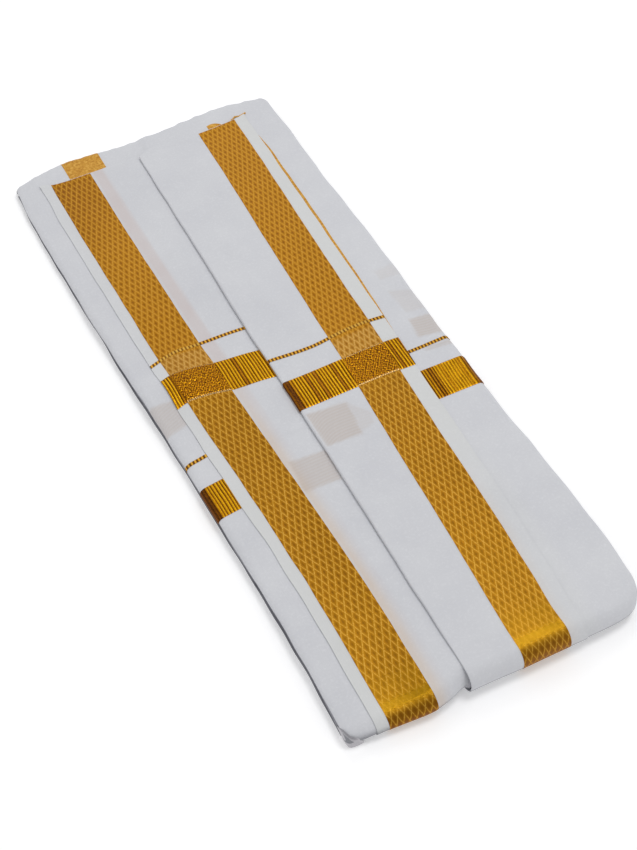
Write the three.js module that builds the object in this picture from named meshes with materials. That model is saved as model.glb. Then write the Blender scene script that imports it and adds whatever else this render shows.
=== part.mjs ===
// Angavastram: a white cotton shoulder cloth with woven zari borders, folded into a long flat bundle.
// Millimetres, +Z up. X runs across the bundle, +Y along it to the hemmed end, and the origin is at
// the middle of the underside. Every stretch of cloth is a thin wall laid over one layered core.

import * as THREE from 'three';
import { mergeVertices } from 'three/addons/utils/BufferGeometryUtils.js';

// ---- driving dimensions ----

const WALL = 1.0; // thickness of a cloth wall
const GAP = 0.3; // air between two solids
const LAYER = WALL + GAP; // from the outside of one wall to the outside of the next
const ZARI = 0.6; // thickness of a zari strip or band
const CREST = 16.6; // height of the top panel in the middle of the bundle
const CROWN = 0.7; // extra height halfway across the right panel
const FAR_SINK = 0.24; // share of the height lost towards the far end
const NEAR_SINK = 0.05; // share of the height lost towards the near end
const LEFT_FALL = 0.034; // slope of the left panel, height over width
const UNDER_FALL_LEFT = 0.06; // slope of the layer past the left selvedge
const UNDER_FALL_RIGHT = 0.05; // slope of the layer past the right selvedge
const NOSE = 8.0; // how far the near fold's round reaches
const BROW = 5.0; // how far the far edge's round reaches
const SIDE = 4.5; // how far a side fold's round reaches
const UNDERLAP = 7.0; // width of an under panel's hidden edge, below a selvedge
const TUCK = 6.0; // width of the left panel's hidden edge, below the right panel
const TURN_BACK = 14.0; // width of the right panel's turned back layer
const NEAR_TURN = 135; // how far a wall runs round the near fold, in degrees
const FAR_TURN = 110; // and round the far edge
const HIDDEN_STEP = 0.6; // width of each step where a hidden edge stops short on the near round
const HIDDEN_REACH = { steps: [0.86, 0.72, 0.6], last: 0.55 }; // share of the near round it covers there
const FOLD_REACH = [1, 0.9, 0.8, 0.72, 0.66]; // the same for the right panel's folded edge, from its top
const LAST_FAR_ROW = 196; // last flat station of the panels at the far end
const LAST_NEAR_ROW = -195; // and at the near end
const FAR_STEP = 186.0; // where the far under panel starts, beneath the hems
const BAND = 21.5; // width of a zari cross band, along the cloth
const TIP = 2.1; // thickness of the inner layer's doubled tip at the near left corner

// Lines that run along the bundle: x at each station y.
const LINES = [
  { y: 212, left: -88.7, selvedgeLeft: -74.6, borderLeftOut: -68.3, borderLeftIn: -42.6, fold: -10.2,
    borderRightIn: 32.8, borderRightOut: 59.4, selvedgeRight: 67.5, right: 88.4 },
  { y: 180, left: -89.9, selvedgeLeft: -74.9, borderLeftOut: -68.3, borderLeftIn: -42.5, fold: -10.6,
    borderRightIn: 31.7, borderRightOut: 58.4, selvedgeRight: 66.5, right: 89.2 },
  { y: 130, left: -89.1, selvedgeLeft: -74.8, borderLeftOut: -68.1, borderLeftIn: -42.4, fold: -11.9,
    borderRightIn: 29.1, borderRightOut: 55.6, selvedgeRight: 64.0, right: 87.4 },
  { y: 80, left: -88.0, selvedgeLeft: -73.9, borderLeftOut: -67.3, borderLeftIn: -42.0, fold: -13.3,
    borderRightIn: 26.2, borderRightOut: 52.7, selvedgeRight: 61.8, right: 87.0 },
  { y: 30, left: -85.8, selvedgeLeft: -72.4, borderLeftOut: -66.2, borderLeftIn: -41.0, fold: -14.4,
    borderRightIn: 24.1, borderRightOut: 50.4, selvedgeRight: 60.0, right: 86.6 },
  { y: -20, left: -83.4, selvedgeLeft: -70.4, borderLeftOut: -63.7, borderLeftIn: -38.8, fold: -14.2,
    borderRightIn: 22.2, borderRightOut: 48.2, selvedgeRight: 57.9, right: 85.6 },
  { y: -70, left: -81.9, selvedgeLeft: -68.1, borderLeftOut: -61.0, borderLeftIn: -36.6, fold: -14.5,
    borderRightIn: 19.3, borderRightOut: 45.6, selvedgeRight: 55.8, right: 85.9 },
  { y: -120, left: -80.4, selvedgeLeft: -65.6, borderLeftOut: -59.3, borderLeftIn: -34.7, fold: -15.3,
    borderRightIn: 16.7, borderRightOut: 43.4, selvedgeRight: 53.7, right: 87.3 },
  { y: -165, left: -79.8, selvedgeLeft: -65.3, borderLeftOut: -59.0, borderLeftIn: -33.9, fold: -15.9,
    borderRightIn: 14.3, borderRightOut: 41.2, selvedgeRight: 51.4, right: 88.0 },
  { y: -200, left: -80.3, selvedgeLeft: -65.4, borderLeftOut: -59.3, borderLeftIn: -34.3, fold: -16.0,
    borderRightIn: 12.2, borderRightOut: 38.6, selvedgeRight: 48.4, right: 86.4 },
];

// Depth of each side fold, from its top down to where the cloth turns under, and the thickness of the
// right panel's folded edge.
const FOLDS = [
  { y: 218, leftWrap: 2.2, rightWrap: 3.8, edge: 2.6 },
  { y: 150, leftWrap: 5.0, rightWrap: 8.0, edge: 3.2 },
  { y: 50, leftWrap: 6.2, rightWrap: 9.4, edge: 4.0 },
  { y: -100, leftWrap: 6.0, rightWrap: 9.0, edge: 3.8 },
  { y: -165, leftWrap: 4.6, rightWrap: 7.0, edge: 3.2 },
  { y: -215, leftWrap: 3.0, rightWrap: 4.6, edge: 3.0 },
];

// The ends of the bundle: y at each x.
const FAR_END = [
  { x: -90, y: 212.0 }, { x: -84, y: 215.4 }, { x: -76, y: 217.6 }, { x: -64, y: 219.6 }, { x: -51, y: 221.0 },
  { x: -36, y: 219.6 }, { x: -22, y: 217.4 }, { x: -2, y: 216.4 }, { x: 12, y: 216.2 }, { x: 33, y: 218.4 },
  { x: 52, y: 219.6 }, { x: 70, y: 218.6 }, { x: 84, y: 217.0 }, { x: 90, y: 213.8 },
];
const NEAR_END_LEFT = [
  { x: -80, y: -212.6 }, { x: -71, y: -213.6 }, { x: -60, y: -214.2 }, { x: -48, y: -215.4 },
  { x: -36, y: -216.4 }, { x: -26, y: -215.0 }, { x: -18, y: -212.8 }, { x: -8, y: -212.6 },
];
const NEAR_END_RIGHT = [
  { x: -19, y: -216.2 }, { x: -3, y: -216.8 }, { x: 10, y: -217.6 }, { x: 36, y: -218.4 },
  { x: 57, y: -219.2 }, { x: 70, y: -219.0 }, { x: 77, y: -217.4 }, { x: 82, y: -213.4 },
  { x: 86, y: -207.4 }, { x: 90, y: -197.0 },
];
const HEM_LEFT = [
  { x: -73, y: 205.2 }, { x: -66, y: 202.0 }, { x: -43, y: 200.8 }, { x: -20, y: 199.6 }, { x: 0, y: 199.0 },
];
const HEM_RIGHT = [
  { x: -10, y: 195.6 }, { x: 0, y: 200.0 }, { x: 16, y: 199.6 }, { x: 33, y: 198.0 }, { x: 60, y: 200.6 },
  { x: 68, y: 203.0 },
];

// The cross bands: y of each band's middle at each x, per panel.
const BAND_LEFT = [
  { x: -72, y: 9.6 }, { x: -64, y: 11.4 }, { x: -52, y: 10.4 }, { x: -37, y: 7.0 }, { x: -24, y: 4.8 },
  { x: -10, y: 2.4 },
];
const BAND_RIGHT = [{ x: -15, y: -26.0 }, { x: 12, y: -26.4 }, { x: 40, y: -26.6 }, { x: 62, y: -27.2 }];
const BAND_UNDER_LEFT = [{ x: -86, y: -64.6 }, { x: -66, y: -63.8 }];
const BAND_UNDER_RIGHT = [{ x: 55, y: -53.6 }, { x: 86, y: -53.4 }];

// The hidden layer's border past the hems: its two long edges, and how far it shows past the right hem.
const REVERSE_LEFT = { from: -55.5, to: -31.2 };
const REVERSE_RIGHT = { from: 41, to: 59, past: 4.5 };

// Two soft ridges where a hidden cross band lifts the panels: middle, half lengths and height.
const RIDGES = [
  { x: -65, y: 15, acrossHalf: 30, alongHalf: 14, height: 2.4 },
  { x: 45, y: -3, acrossHalf: 20, alongHalf: 20, height: 1.5 },
];

const COTTON = { color: 0xd3d8e0, roughness: 0.9, metalness: 0.0 };
const HIDDEN_COTTON = { color: 0xc9ced8, roughness: 0.95, metalness: 0.0 };
const ZARI_GOLD = { color: 0xb87d2a, roughness: 0.42, metalness: 0.65 };
const BAND_GOLD = { color: 0xd09a2c, roughness: 0.35, metalness: 0.75 };
const REVERSE_GOLD = { color: 0xc79a4a, roughness: 0.5, metalness: 0.5 };

// ---- reading the tables ----

const clamp = (value, low, high) => Math.min(high, Math.max(low, value));
const mix = (a, b, share) => a + (b - a) * share;
const radians = THREE.MathUtils.degToRad;

function smooth(from, to, value) {
  const share = clamp((value - from) / (to - from), 0, 1);
  return share * share * (3 - 2 * share);
}

// A column of a table at a place between its rows, as a Catmull-Rom curve, held at the ends.
function read(table, along, column, at) {
  const rising = table[0][along] < table[table.length - 1][along];
  const rows = rising ? table : [...table].reverse();
  const last = rows.length - 1;
  const place = clamp(at, rows[0][along], rows[last][along]);
  let i = 0;
  while (i < last - 1 && rows[i + 1][along] < place) i += 1;
  const row = (k) => rows[clamp(k, 0, last)];
  const slope = (k) => (row(k + 1)[column] - row(k - 1)[column]) / (row(k + 1)[along] - row(k - 1)[along]);
  const span = rows[i + 1][along] - rows[i][along];
  const t = (place - rows[i][along]) / span;
  const bend = t * t * (3 - 2 * t);
  const start = slope(i) * span * t * (1 - t) * (1 - t);
  const end = slope(i + 1) * span * t * t * (t - 1);
  return mix(rows[i][column], rows[i + 1][column], bend) + start + end;
}

const line = (name, y) => read(LINES, 'y', name, y);
const foldSize = (name, y) => read(FOLDS, 'y', name, y);
const edgeAt = (table, x) => read(table, 'x', 'y', x);

// ---- heights of the four visible panels ----

// Share of the full height at a station: the bundle thins out towards both ends.
const loft = (y) => 1 - FAR_SINK * smooth(60, 212, y) - NEAR_SINK * smooth(-130, -210, y);

function ridge(x, y) {
  let height = 0;
  for (const r of RIDGES) {
    height += r.height * Math.exp(-(((x - r.x) / r.acrossHalf) ** 2) - ((y - r.y) / r.alongHalf) ** 2);
  }
  return height;
}

function topRight(x, y) {
  const share = (x - line('fold', y)) / (line('selvedgeRight', y) - line('fold', y));
  return (CREST + CROWN * Math.sin(Math.PI * clamp(share, 0, 1))) * loft(y) + ridge(x, y);
}

function topLeft(x, y) {
  const fall = LEFT_FALL * (line('fold', y) - x);
  return CREST * loft(y) - foldSize('edge', y) - GAP - fall + ridge(x, y);
}

function underLeft(x, y) {
  const past = Math.max(0, line('selvedgeLeft', y) - x);
  return topLeft(x, y) - LAYER - UNDER_FALL_LEFT * past;
}

function underRight(x, y) {
  const past = Math.max(0, x - line('selvedgeRight', y));
  return topRight(x, y) - LAYER - UNDER_FALL_RIGHT * past;
}

// A panel: the height of its outside, where it ends and how far its near round reaches.
const PANELS = {
  right: { top: topRight, nearEnd: NEAR_END_RIGHT, inset: 0 },
  left: { top: topLeft, nearEnd: NEAR_END_LEFT, inset: 0 },
  underLeft: { top: underLeft, nearEnd: NEAR_END_LEFT, inset: LAYER },
  underRight: { top: underRight, nearEnd: NEAR_END_RIGHT, inset: LAYER },
};

const noseStart = (panel, x) => edgeAt(panel.nearEnd, x) + NOSE;
const browStart = (x) => edgeAt(FAR_END, x) - BROW;

// ---- columns: where a point lies across the bundle and how deep below its panel's outside ----

const at = (x, reach = 1) => ({ reach, place: (y, out) => [x(y), -out] });

// Round a side fold: side is -1 at the left and 1 at the right, and angle runs from the top.
function sideRound(side, angle) {
  const name = side < 0 ? 'left' : 'right';
  const wrap = side < 0 ? 'leftWrap' : 'rightWrap';
  const place = (y, out) => {
    const half = foldSize(wrap, y) / 2;
    const x = line(name, y) + side * ((SIDE + out) * Math.sin(radians(angle)) - SIDE);
    return [x, half - (half + out) * Math.cos(radians(angle))];
  };
  return { reach: 1, place };
}

// Round the right panel's folded left edge, and back below it.
function foldRound(angle, reach) {
  const place = (y, out) => {
    const half = foldSize('edge', y) / 2;
    const x = line('fold', y) + half - (half + out) * Math.sin(radians(angle));
    return [x, half - (half + out) * Math.cos(radians(angle))];
  };
  return { reach, place };
}

function turnedBack(width, reach) {
  const place = (y, out) => [line('fold', y) + width, foldSize('edge', y) + out];
  return { reach, place };
}

// Plain columns spread evenly between two lines of the bundle.
function spread(from, to, count, reach = 1) {
  const columns = [];
  for (let i = 0; i <= count; i += 1) {
    columns.push(at((y) => mix(from(y), to(y), i / count), reach));
  }
  return columns;
}

// An edge that runs on below another panel: it stops higher on the near round, a step at a time.
function hiddenEdge(from, side, width) {
  const columns = HIDDEN_REACH.steps.map((reach, k) => at((y) => from(y) + side * HIDDEN_STEP * k, reach));
  return [...columns, at((y) => from(y) + side * width, HIDDEN_REACH.last)];
}

// ---- rows: where a point lies along the bundle ----

const flatRow = (y) => ({ y: () => y });
const edgeRow = (table, shift = 0) => ({ y: (x) => edgeAt(table, x) + shift });
const nearRow = (angle) => ({ nearTurn: angle });
const farRow = (angle) => ({ farTurn: angle });

function flatRows(from, to, count) {
  const rows = [];
  for (let i = 0; i <= count; i += 1) rows.push(flatRow(mix(from, to, i / count)));
  return rows;
}

const NEAR_ROWS = [0, 22, 44, 66, 88, 111, NEAR_TURN].map(nearRow);
const FAR_ROWS = [FAR_TURN, 80, 50, 22, 0].map(farRow);

// The point of a panel at a row and a column, moved out from the panel's outside.
function panelPoint(panel, row, column, out) {
  let x = column.place(0, 0)[0];
  let y = 0;
  for (let pass = 0; pass < 3; pass += 1) {
    if (row.nearTurn !== undefined) y = noseStart(panel, x);
    else if (row.farTurn !== undefined) y = browStart(x);
    else y = row.y(x);
    x = column.place(y, 0)[0];
  }
  const [placedX, depth] = column.place(y, out);
  const flatX = clamp(placedX, line('left', y) + SIDE, line('right', y) - SIDE);
  const height = panel.top(flatX, y);
  if (row.nearTurn !== undefined) {
    const angle = radians(row.nearTurn * column.reach);
    const middle = (height + panel.inset) / 2;
    const z = middle + (height - middle - depth) * Math.cos(angle);
    return [placedX, y - (NOSE - panel.inset - depth) * Math.sin(angle), z];
  }
  if (row.farTurn !== undefined) {
    const angle = radians(row.farTurn);
    const z = height / 2 + (height / 2 - depth) * Math.cos(angle);
    return [placedX, y + (BROW - depth) * Math.sin(angle), z];
  }
  return [placedX, y, height - depth];
}

// ---- closed meshes ----

function closedGeometry(positions, faces) {
  const geometry = new THREE.BufferGeometry();
  geometry.setAttribute('position', new THREE.Float32BufferAttribute(positions.flat(), 3));
  geometry.setIndex(faces.flat());
  return mergeVertices(geometry, 1e-4);
}

// Two triangles for a quad, parted along its shorter diagonal.
function quad(points, a, b, c, d) {
  const length = (i, j) => Math.hypot(...[0, 1, 2].map((k) => points[i][k] - points[j][k]));
  return length(a, c) <= length(b, d) ? [[a, b, c], [a, c, d]] : [[a, b, d], [b, c, d]];
}

// A wall between an outer and an inner grid, closed along its four edges.
function wall(panel, rows, columns, outer, inner) {
  const high = rows.length;
  const wide = columns.length;
  const points = [];
  for (const out of [outer, inner]) {
    for (const row of rows) {
      for (const column of columns) points.push(panelPoint(column.panel ?? panel, row, column, out));
    }
  }
  const top = (i, j) => i * wide + j;
  const bottom = (i, j) => high * wide + top(i, j);
  const faces = [];
  for (let i = 0; i < high - 1; i += 1) {
    for (let j = 0; j < wide - 1; j += 1) {
      faces.push(...quad(points, top(i, j), top(i + 1, j), top(i + 1, j + 1), top(i, j + 1)));
      faces.push(...quad(points, bottom(i, j), bottom(i, j + 1), bottom(i + 1, j + 1), bottom(i + 1, j)));
    }
    const last = wide - 1;
    faces.push(...quad(points, top(i, 0), bottom(i, 0), bottom(i + 1, 0), top(i + 1, 0)));
    faces.push(...quad(points, top(i, last), top(i + 1, last), bottom(i + 1, last), bottom(i, last)));
  }
  for (let j = 0; j < wide - 1; j += 1) {
    const last = high - 1;
    faces.push(...quad(points, top(0, j), top(0, j + 1), bottom(0, j + 1), bottom(0, j)));
    faces.push(...quad(points, top(last, j), bottom(last, j), bottom(last, j + 1), top(last, j + 1)));
  }
  return closedGeometry(points, faces);
}

const group = new THREE.Group();

function add(name, geometry, look) {
  geometry.computeVertexNormals();
  const mesh = new THREE.Mesh(geometry, new THREE.MeshStandardMaterial(look));
  mesh.name = name;
  group.add(mesh);
}

// ---- the five panels ----

// Rows run from the far end to the near end, and columns from left to right.
const LONG_ROWS = [
  ...flatRows(LAST_FAR_ROW, 54, 6), ...flatRows(42, -36, 10), ...flatRows(-54, LAST_NEAR_ROW, 6),
];

function topRightPanel() {
  const rounds = FOLD_REACH.map((reach, k) => foldRound(45 * k, reach)).reverse();
  const back = turnedBack(TURN_BACK, FOLD_REACH[4]);
  const field = spread((y) => line('fold', y) + 9, (y) => line('selvedgeRight', y), 8);
  const rows = [edgeRow(HEM_RIGHT), ...LONG_ROWS.slice(1), ...NEAR_ROWS];
  return wall(PANELS.right, rows, [back, ...rounds, ...field], 0, -WALL);
}

function topLeftPanel() {
  const field = spread((y) => line('selvedgeLeft', y), (y) => line('fold', y) - HIDDEN_STEP, 8);
  const hidden = hiddenEdge((y) => line('fold', y), 1, TUCK);
  const rows = [edgeRow(HEM_LEFT), ...LONG_ROWS, ...NEAR_ROWS];
  return wall(PANELS.left, rows, [...field, ...hidden], 0, -WALL);
}

function underLeftPanel() {
  const rounds = [150, 120, 90, 60, 30].map((angle) => sideRound(-1, angle));
  const field = spread((y) => line('left', y) + SIDE, (y) => line('selvedgeLeft', y), 3);
  const hidden = hiddenEdge((y) => line('selvedgeLeft', y) + HIDDEN_STEP, 1, UNDERLAP - HIDDEN_STEP);
  const rows = [...FAR_ROWS, ...LONG_ROWS, ...NEAR_ROWS];
  return wall(PANELS.underLeft, rows, [...rounds, ...field, ...hidden], 0, -WALL);
}

function underRightPanel() {
  const rounds = [30, 60, 90, 120, 150].map((angle) => sideRound(1, angle));
  const field = spread((y) => line('selvedgeRight', y), (y) => line('right', y) - SIDE, 4);
  const hidden = hiddenEdge((y) => line('selvedgeRight', y) - HIDDEN_STEP, -1, UNDERLAP - HIDDEN_STEP).reverse();
  const rows = [...FAR_ROWS, ...LONG_ROWS, ...NEAR_ROWS];
  return wall(PANELS.underRight, rows, [...hidden, ...field, ...rounds], 0, -WALL);
}

// ---- the core: a lattice box with a column list of zones, each a set depth below its panel ----

const zone = (panel, x, depth) => ({ panel, x, depth });
const turnBackDepth = (y) => foldSize('edge', y) + GAP;
const layerDepth = () => LAYER;

function zoneSpread(panel, from, to, count, depth) {
  const zones = [];
  for (let i = 0; i <= count; i += 1) zones.push(zone(panel, (y) => mix(from(y), to(y), i / count), depth));
  return zones;
}

// The zones under the two top panels, which the far under panel shares.
const STEP = 0.15; // half the width of the step between two zones
const MIDDLE_ZONES = [
  ...zoneSpread(PANELS.left, (y) => line('selvedgeLeft', y) + UNDERLAP + 4 * STEP,
    (y) => line('fold', y) + TUCK + STEP, 8, layerDepth),
  zone(PANELS.right, (y) => line('fold', y) + TUCK + 3 * STEP, turnBackDepth),
  zone(PANELS.right, (y) => line('fold', y) + TURN_BACK + STEP, turnBackDepth),
  ...zoneSpread(PANELS.right, (y) => line('fold', y) + TURN_BACK + 3 * STEP,
    (y) => line('selvedgeRight', y) - UNDERLAP - 4 * STEP, 4, layerDepth),
];
const CORE_ZONES = [
  ...zoneSpread(PANELS.underLeft, (y) => line('left', y) + SIDE,
    (y) => line('selvedgeLeft', y), 3, layerDepth),
  zone(PANELS.underLeft, (y) => line('selvedgeLeft', y) + UNDERLAP + STEP, layerDepth),
  ...MIDDLE_ZONES,
  zone(PANELS.underRight, (y) => line('selvedgeRight', y) - UNDERLAP - STEP, layerDepth),
  ...zoneSpread(PANELS.underRight, (y) => line('selvedgeRight', y),
    (y) => line('right', y) - SIDE, 4, layerDepth),
];
const MIDDLE_FIRST = CORE_ZONES.indexOf(MIDDLE_ZONES[0]);
const MIDDLE_LAST = MIDDLE_FIRST + MIDDLE_ZONES.length - 1;

// Levels up the core, as shares of its height: hidden layers low down, the round above them.
const LEVELS = [0, 0.03, 0.09, 0.15, 0.18, 0.24, 0.3, 0.36, 0.42, 0.52, 0.64, 0.76, 0.87, 0.95, 1];
const PLY = 0.18; // share of the core's height for one group of hidden layers
const PLY_ROUND = 1.1; // how far the round edge of a group of layers reaches
const PLY_RETREAT = [1.6, 2.4]; // how far the two lowest groups stay back from a side
const SPARE = 0.3; // extra air inside a round

// How far the round edge of the hidden layers stands back at a level.
function plyInset(level) {
  const index = Math.min(Math.floor(level / PLY), PLY_RETREAT.length - 1);
  const share = clamp(level / PLY - index, 0, 1);
  return PLY_RETREAT[index] + PLY_ROUND * (1 - Math.sin(Math.PI * share));
}

// Half width of a fold's inside at a height, as a share of its reach.
function roundShare(z, middle, half) {
  return Math.sqrt(1 - clamp((z - middle) / half, -1, 1) ** 2);
}

function sideInset(side, z, top, y, level) {
  const wrap = foldSize(side < 0 ? 'leftWrap' : 'rightWrap', y);
  if (z < top - wrap - GAP) return plyInset(level);
  return SIDE - (SIDE - LAYER - SPARE) * roundShare(z, top - wrap / 2, Math.max(wrap / 2 - LAYER, GAP));
}

function zoneDepth(index, y) {
  const zoneHere = CORE_ZONES[index];
  const below = index >= MIDDLE_FIRST && index <= MIDDLE_LAST && y > FAR_STEP ? LAYER : 0;
  return zoneHere.depth(y) + below;
}

// Inner rows of the core, with a step where the far under panel starts.
const CORE_ROWS = [
  -190, -168, -145, -120, -95, -70, -45, -29, -17, -6, 6, 18, 30, 46, 70, 96, 122, 148, 170,
  FAR_STEP - GAP, FAR_STEP + 0.01, 198,
];

function corePoint(index, rowIndex, level) {
  const { panel, x: zoneX } = CORE_ZONES[index];
  const first = rowIndex === 0;
  const last = rowIndex === CORE_ROWS.length + 1;
  const side = (index === CORE_ZONES.length - 1) - (index === 0);
  let x = zoneX(0);
  let y = 0;
  for (let pass = 0; pass < 3; pass += 1) {
    if (first) y = noseStart(panel, x + side * SIDE);
    else if (last) y = browStart(x + side * SIDE);
    else y = CORE_ROWS[rowIndex - 1];
    x = zoneX(y);
  }
  const depth = zoneDepth(index, y);
  const top = panel.top(x, y);
  const z = (top - depth) * level;
  const inward = side === 0 ? 1 : 0;
  if (first) {
    const middle = (top + panel.inset) / 2;
    const reach = NOSE - panel.inset - depth - SPARE;
    y -= inward * reach * roundShare(z, middle, top - middle - depth);
  }
  if (last) {
    const round = (BROW - depth - SPARE) * roundShare(z, top / 2, top / 2 - depth);
    y += z < top / 4 ? BROW - plyInset(level) : inward * round;
  }
  if (side !== 0) x += side * (SIDE - sideInset(side, z, top, y, level));
  return [x, y, z];
}

// The six faces of a lattice box, as one closed mesh with its faces outward.
function latticeBox(countX, countY, countZ, pointAt) {
  const points = [];
  const faces = [];
  const face = (countA, countB, point, outward) => {
    const base = points.length;
    for (let a = 0; a <= countA; a += 1) {
      for (let b = 0; b <= countB; b += 1) points.push(point(a, b));
    }
    const index = (a, b) => base + a * (countB + 1) + b;
    for (let a = 0; a < countA; a += 1) {
      for (let b = 0; b < countB; b += 1) {
        const corners = [index(a, b), index(a + 1, b), index(a + 1, b + 1), index(a, b + 1)];
        faces.push(...quad(points, ...(outward ? corners : corners.reverse())));
      }
    }
  };
  face(countX, countY, (i, j) => pointAt(i, j, countZ), true);
  face(countX, countY, (i, j) => pointAt(i, j, 0), false);
  face(countX, countZ, (i, k) => pointAt(i, 0, k), true);
  face(countX, countZ, (i, k) => pointAt(i, countY, k), false);
  face(countY, countZ, (j, k) => pointAt(countX, j, k), true);
  face(countY, countZ, (j, k) => pointAt(0, j, k), false);
  return closedGeometry(points, faces);
}

function foldedCore() {
  const point = (i, j, k) => corePoint(i, j, LEVELS[k]);
  return latticeBox(CORE_ZONES.length - 1, CORE_ROWS.length + 1, LEVELS.length - 1, point);
}

// The far under panel lies in the same zones, one layer above the core.
function farUnderPanel() {
  const last = MIDDLE_ZONES.length - 1;
  const columns = MIDDLE_ZONES.map(({ panel, x, depth }, k) => {
    const trim = (k === 0 ? STEP : 0) - (k === last ? STEP : 0);
    return { panel, reach: 1, place: (y, out) => [x(y) + trim, depth(y) - out] };
  });
  const rows = [...FAR_ROWS, flatRow(198), flatRow(FAR_STEP + GAP)];
  return wall(PANELS.left, rows, columns, 0, -WALL);
}

// ---- zari: thin strips and bands just above a panel's outside ----

const ZARI_LOW = GAP;
const ZARI_HIGH = GAP + ZARI;

// Rows of a strip from one edge to another, through the panel's own rows between them.
function rowsBetween(start, end, from, to) {
  const inner = LONG_ROWS.filter((row) => row.y(0) < from - 4 && row.y(0) > to + 4);
  return [start, ...inner, end];
}

function borderStrip(panel, outLine, inLine, rows) {
  const columns = spread((y) => line(outLine, y), (y) => line(inLine, y), 3);
  return wall(panel, rows, columns, ZARI_HIGH, ZARI_LOW);
}

function crossBand(panel, table, columns) {
  const rows = [0.5, 0.25, 0, -0.25, -0.5].map((share) => edgeRow(table, share * BAND));
  return wall(panel, rows, columns, ZARI_HIGH, ZARI_LOW);
}

function addBorder(side, panel, hem, band, outLine, inLine, middle) {
  const clear = BAND / 2 + 2 * GAP;
  const far = rowsBetween(edgeRow(hem, -1), edgeRow(band, clear), LAST_FAR_ROW, middle + clear);
  const near = rowsBetween(edgeRow(band, -clear), flatRow(LAST_NEAR_ROW), middle - clear, LAST_NEAR_ROW);
  add(`${side}_border_far`, borderStrip(panel, outLine, inLine, far), ZARI_GOLD);
  add(`${side}_border_near`, borderStrip(panel, outLine, inLine, [...near, ...NEAR_ROWS]), ZARI_GOLD);
}

// The back of the hidden layer's zari border, where it looks out past a hem.
function reverseBorder(panel, from, to, rows) {
  const columns = [0, 0.25, 0.5, 0.75, 1].map((share) => (
    { reach: 1, place: (y, out) => [mix(from, to, share), LAYER - out] }
  ));
  return wall(panel, rows, columns, ZARI_HIGH, ZARI_LOW);
}

// ---- the tip of an inner layer at the near left corner ----

function cornerFlap() {
  const tip = new THREE.Shape();
  tip.moveTo(-81.2, -206.5);
  tip.quadraticCurveTo(-81.4, -211.4, -78.6, -213.1);
  tip.quadraticCurveTo(-74.5, -213.9, -70.5, -212.6);
  tip.lineTo(-70.5, -207.5);
  tip.closePath();
  const geometry = new THREE.ExtrudeGeometry(tip, { depth: TIP, bevelEnabled: false, curveSegments: 6 });
  for (const name of ['normal', 'uv']) geometry.deleteAttribute(name);
  return mergeVertices(geometry);
}

// ---- the whole cloth ----

add('folded_core', foldedCore(), HIDDEN_COTTON);
add('under_panel_left', underLeftPanel(), COTTON);
add('under_panel_right', underRightPanel(), COTTON);
add('far_under_panel', farUnderPanel(), COTTON);
add('top_panel_left', topLeftPanel(), COTTON);
add('top_panel_right', topRightPanel(), COTTON);
addBorder('left', PANELS.left, HEM_LEFT, BAND_LEFT, 'borderLeftOut', 'borderLeftIn', edgeAt(BAND_LEFT, -54));
addBorder('right', PANELS.right, HEM_RIGHT, BAND_RIGHT, 'borderRightIn', 'borderRightOut', edgeAt(BAND_RIGHT, 36));

const pastHem = (hem) => edgeRow(hem, 2 * GAP);
add('reverse_border_left', reverseBorder(PANELS.left, REVERSE_LEFT.from, REVERSE_LEFT.to,
  [...[70, 45, 22, 0].map(farRow), pastHem(HEM_LEFT)]), REVERSE_GOLD);
add('reverse_border_right', reverseBorder(PANELS.right, REVERSE_RIGHT.from, REVERSE_RIGHT.to,
  [edgeRow(HEM_RIGHT, REVERSE_RIGHT.past), pastHem(HEM_RIGHT)]), REVERSE_GOLD);

const foldCurl = [135, 90, 45, 0].map((angle) => foldRound(angle, 1));
add('left_band', crossBand(PANELS.left, BAND_LEFT,
  spread((y) => line('selvedgeLeft', y), (y) => line('fold', y) - 1.6, 6)), BAND_GOLD);
add('right_band', crossBand(PANELS.right, BAND_RIGHT,
  [...foldCurl, ...spread((y) => line('fold', y) + 8, (y) => line('selvedgeRight', y), 6)]), BAND_GOLD);
add('under_left_band', crossBand(PANELS.underLeft, BAND_UNDER_LEFT,
  [...[120, 90, 60, 30].map((angle) => sideRound(-1, angle)),
    ...spread((y) => line('left', y) + SIDE, (y) => line('selvedgeLeft', y) - GAP, 2)]), BAND_GOLD);
add('under_right_band', crossBand(PANELS.underRight, BAND_UNDER_RIGHT,
  [...spread((y) => line('selvedgeRight', y) + GAP, (y) => line('right', y) - SIDE, 3),
    ...[30, 60, 90].map((angle) => sideRound(1, angle))]), BAND_GOLD);
add('corner_flap', cornerFlap(), HIDDEN_COTTON);

export default group;
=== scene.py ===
"""Dresses the CAD frame of a folded cotton angavastram: thin cloth, woven zari, plies and a pale stage.

Lengths in the tables are millimetres, in the frame's own axes: X across the bundle, Y along it towards
the hemmed end, Z up from the underside. Meshes are written in metres.
"""

import math

import bpy
import numpy as np
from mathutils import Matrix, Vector


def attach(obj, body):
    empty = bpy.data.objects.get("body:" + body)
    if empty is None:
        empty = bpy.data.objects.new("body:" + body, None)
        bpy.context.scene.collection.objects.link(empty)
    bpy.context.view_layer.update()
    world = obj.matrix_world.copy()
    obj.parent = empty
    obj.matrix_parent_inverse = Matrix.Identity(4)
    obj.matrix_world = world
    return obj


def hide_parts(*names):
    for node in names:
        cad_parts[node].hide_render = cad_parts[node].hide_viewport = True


bl_info = {
    "name": "Folded Angavastram",
    "version": (1, 0, 0),
    "blender": (4, 5, 0),
    "location": "View3D > Sidebar > Angavastram",
    "description": "Builds the cloth, the woven zari and the stage of a folded cotton angavastram",
    "category": "Object",
}

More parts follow.
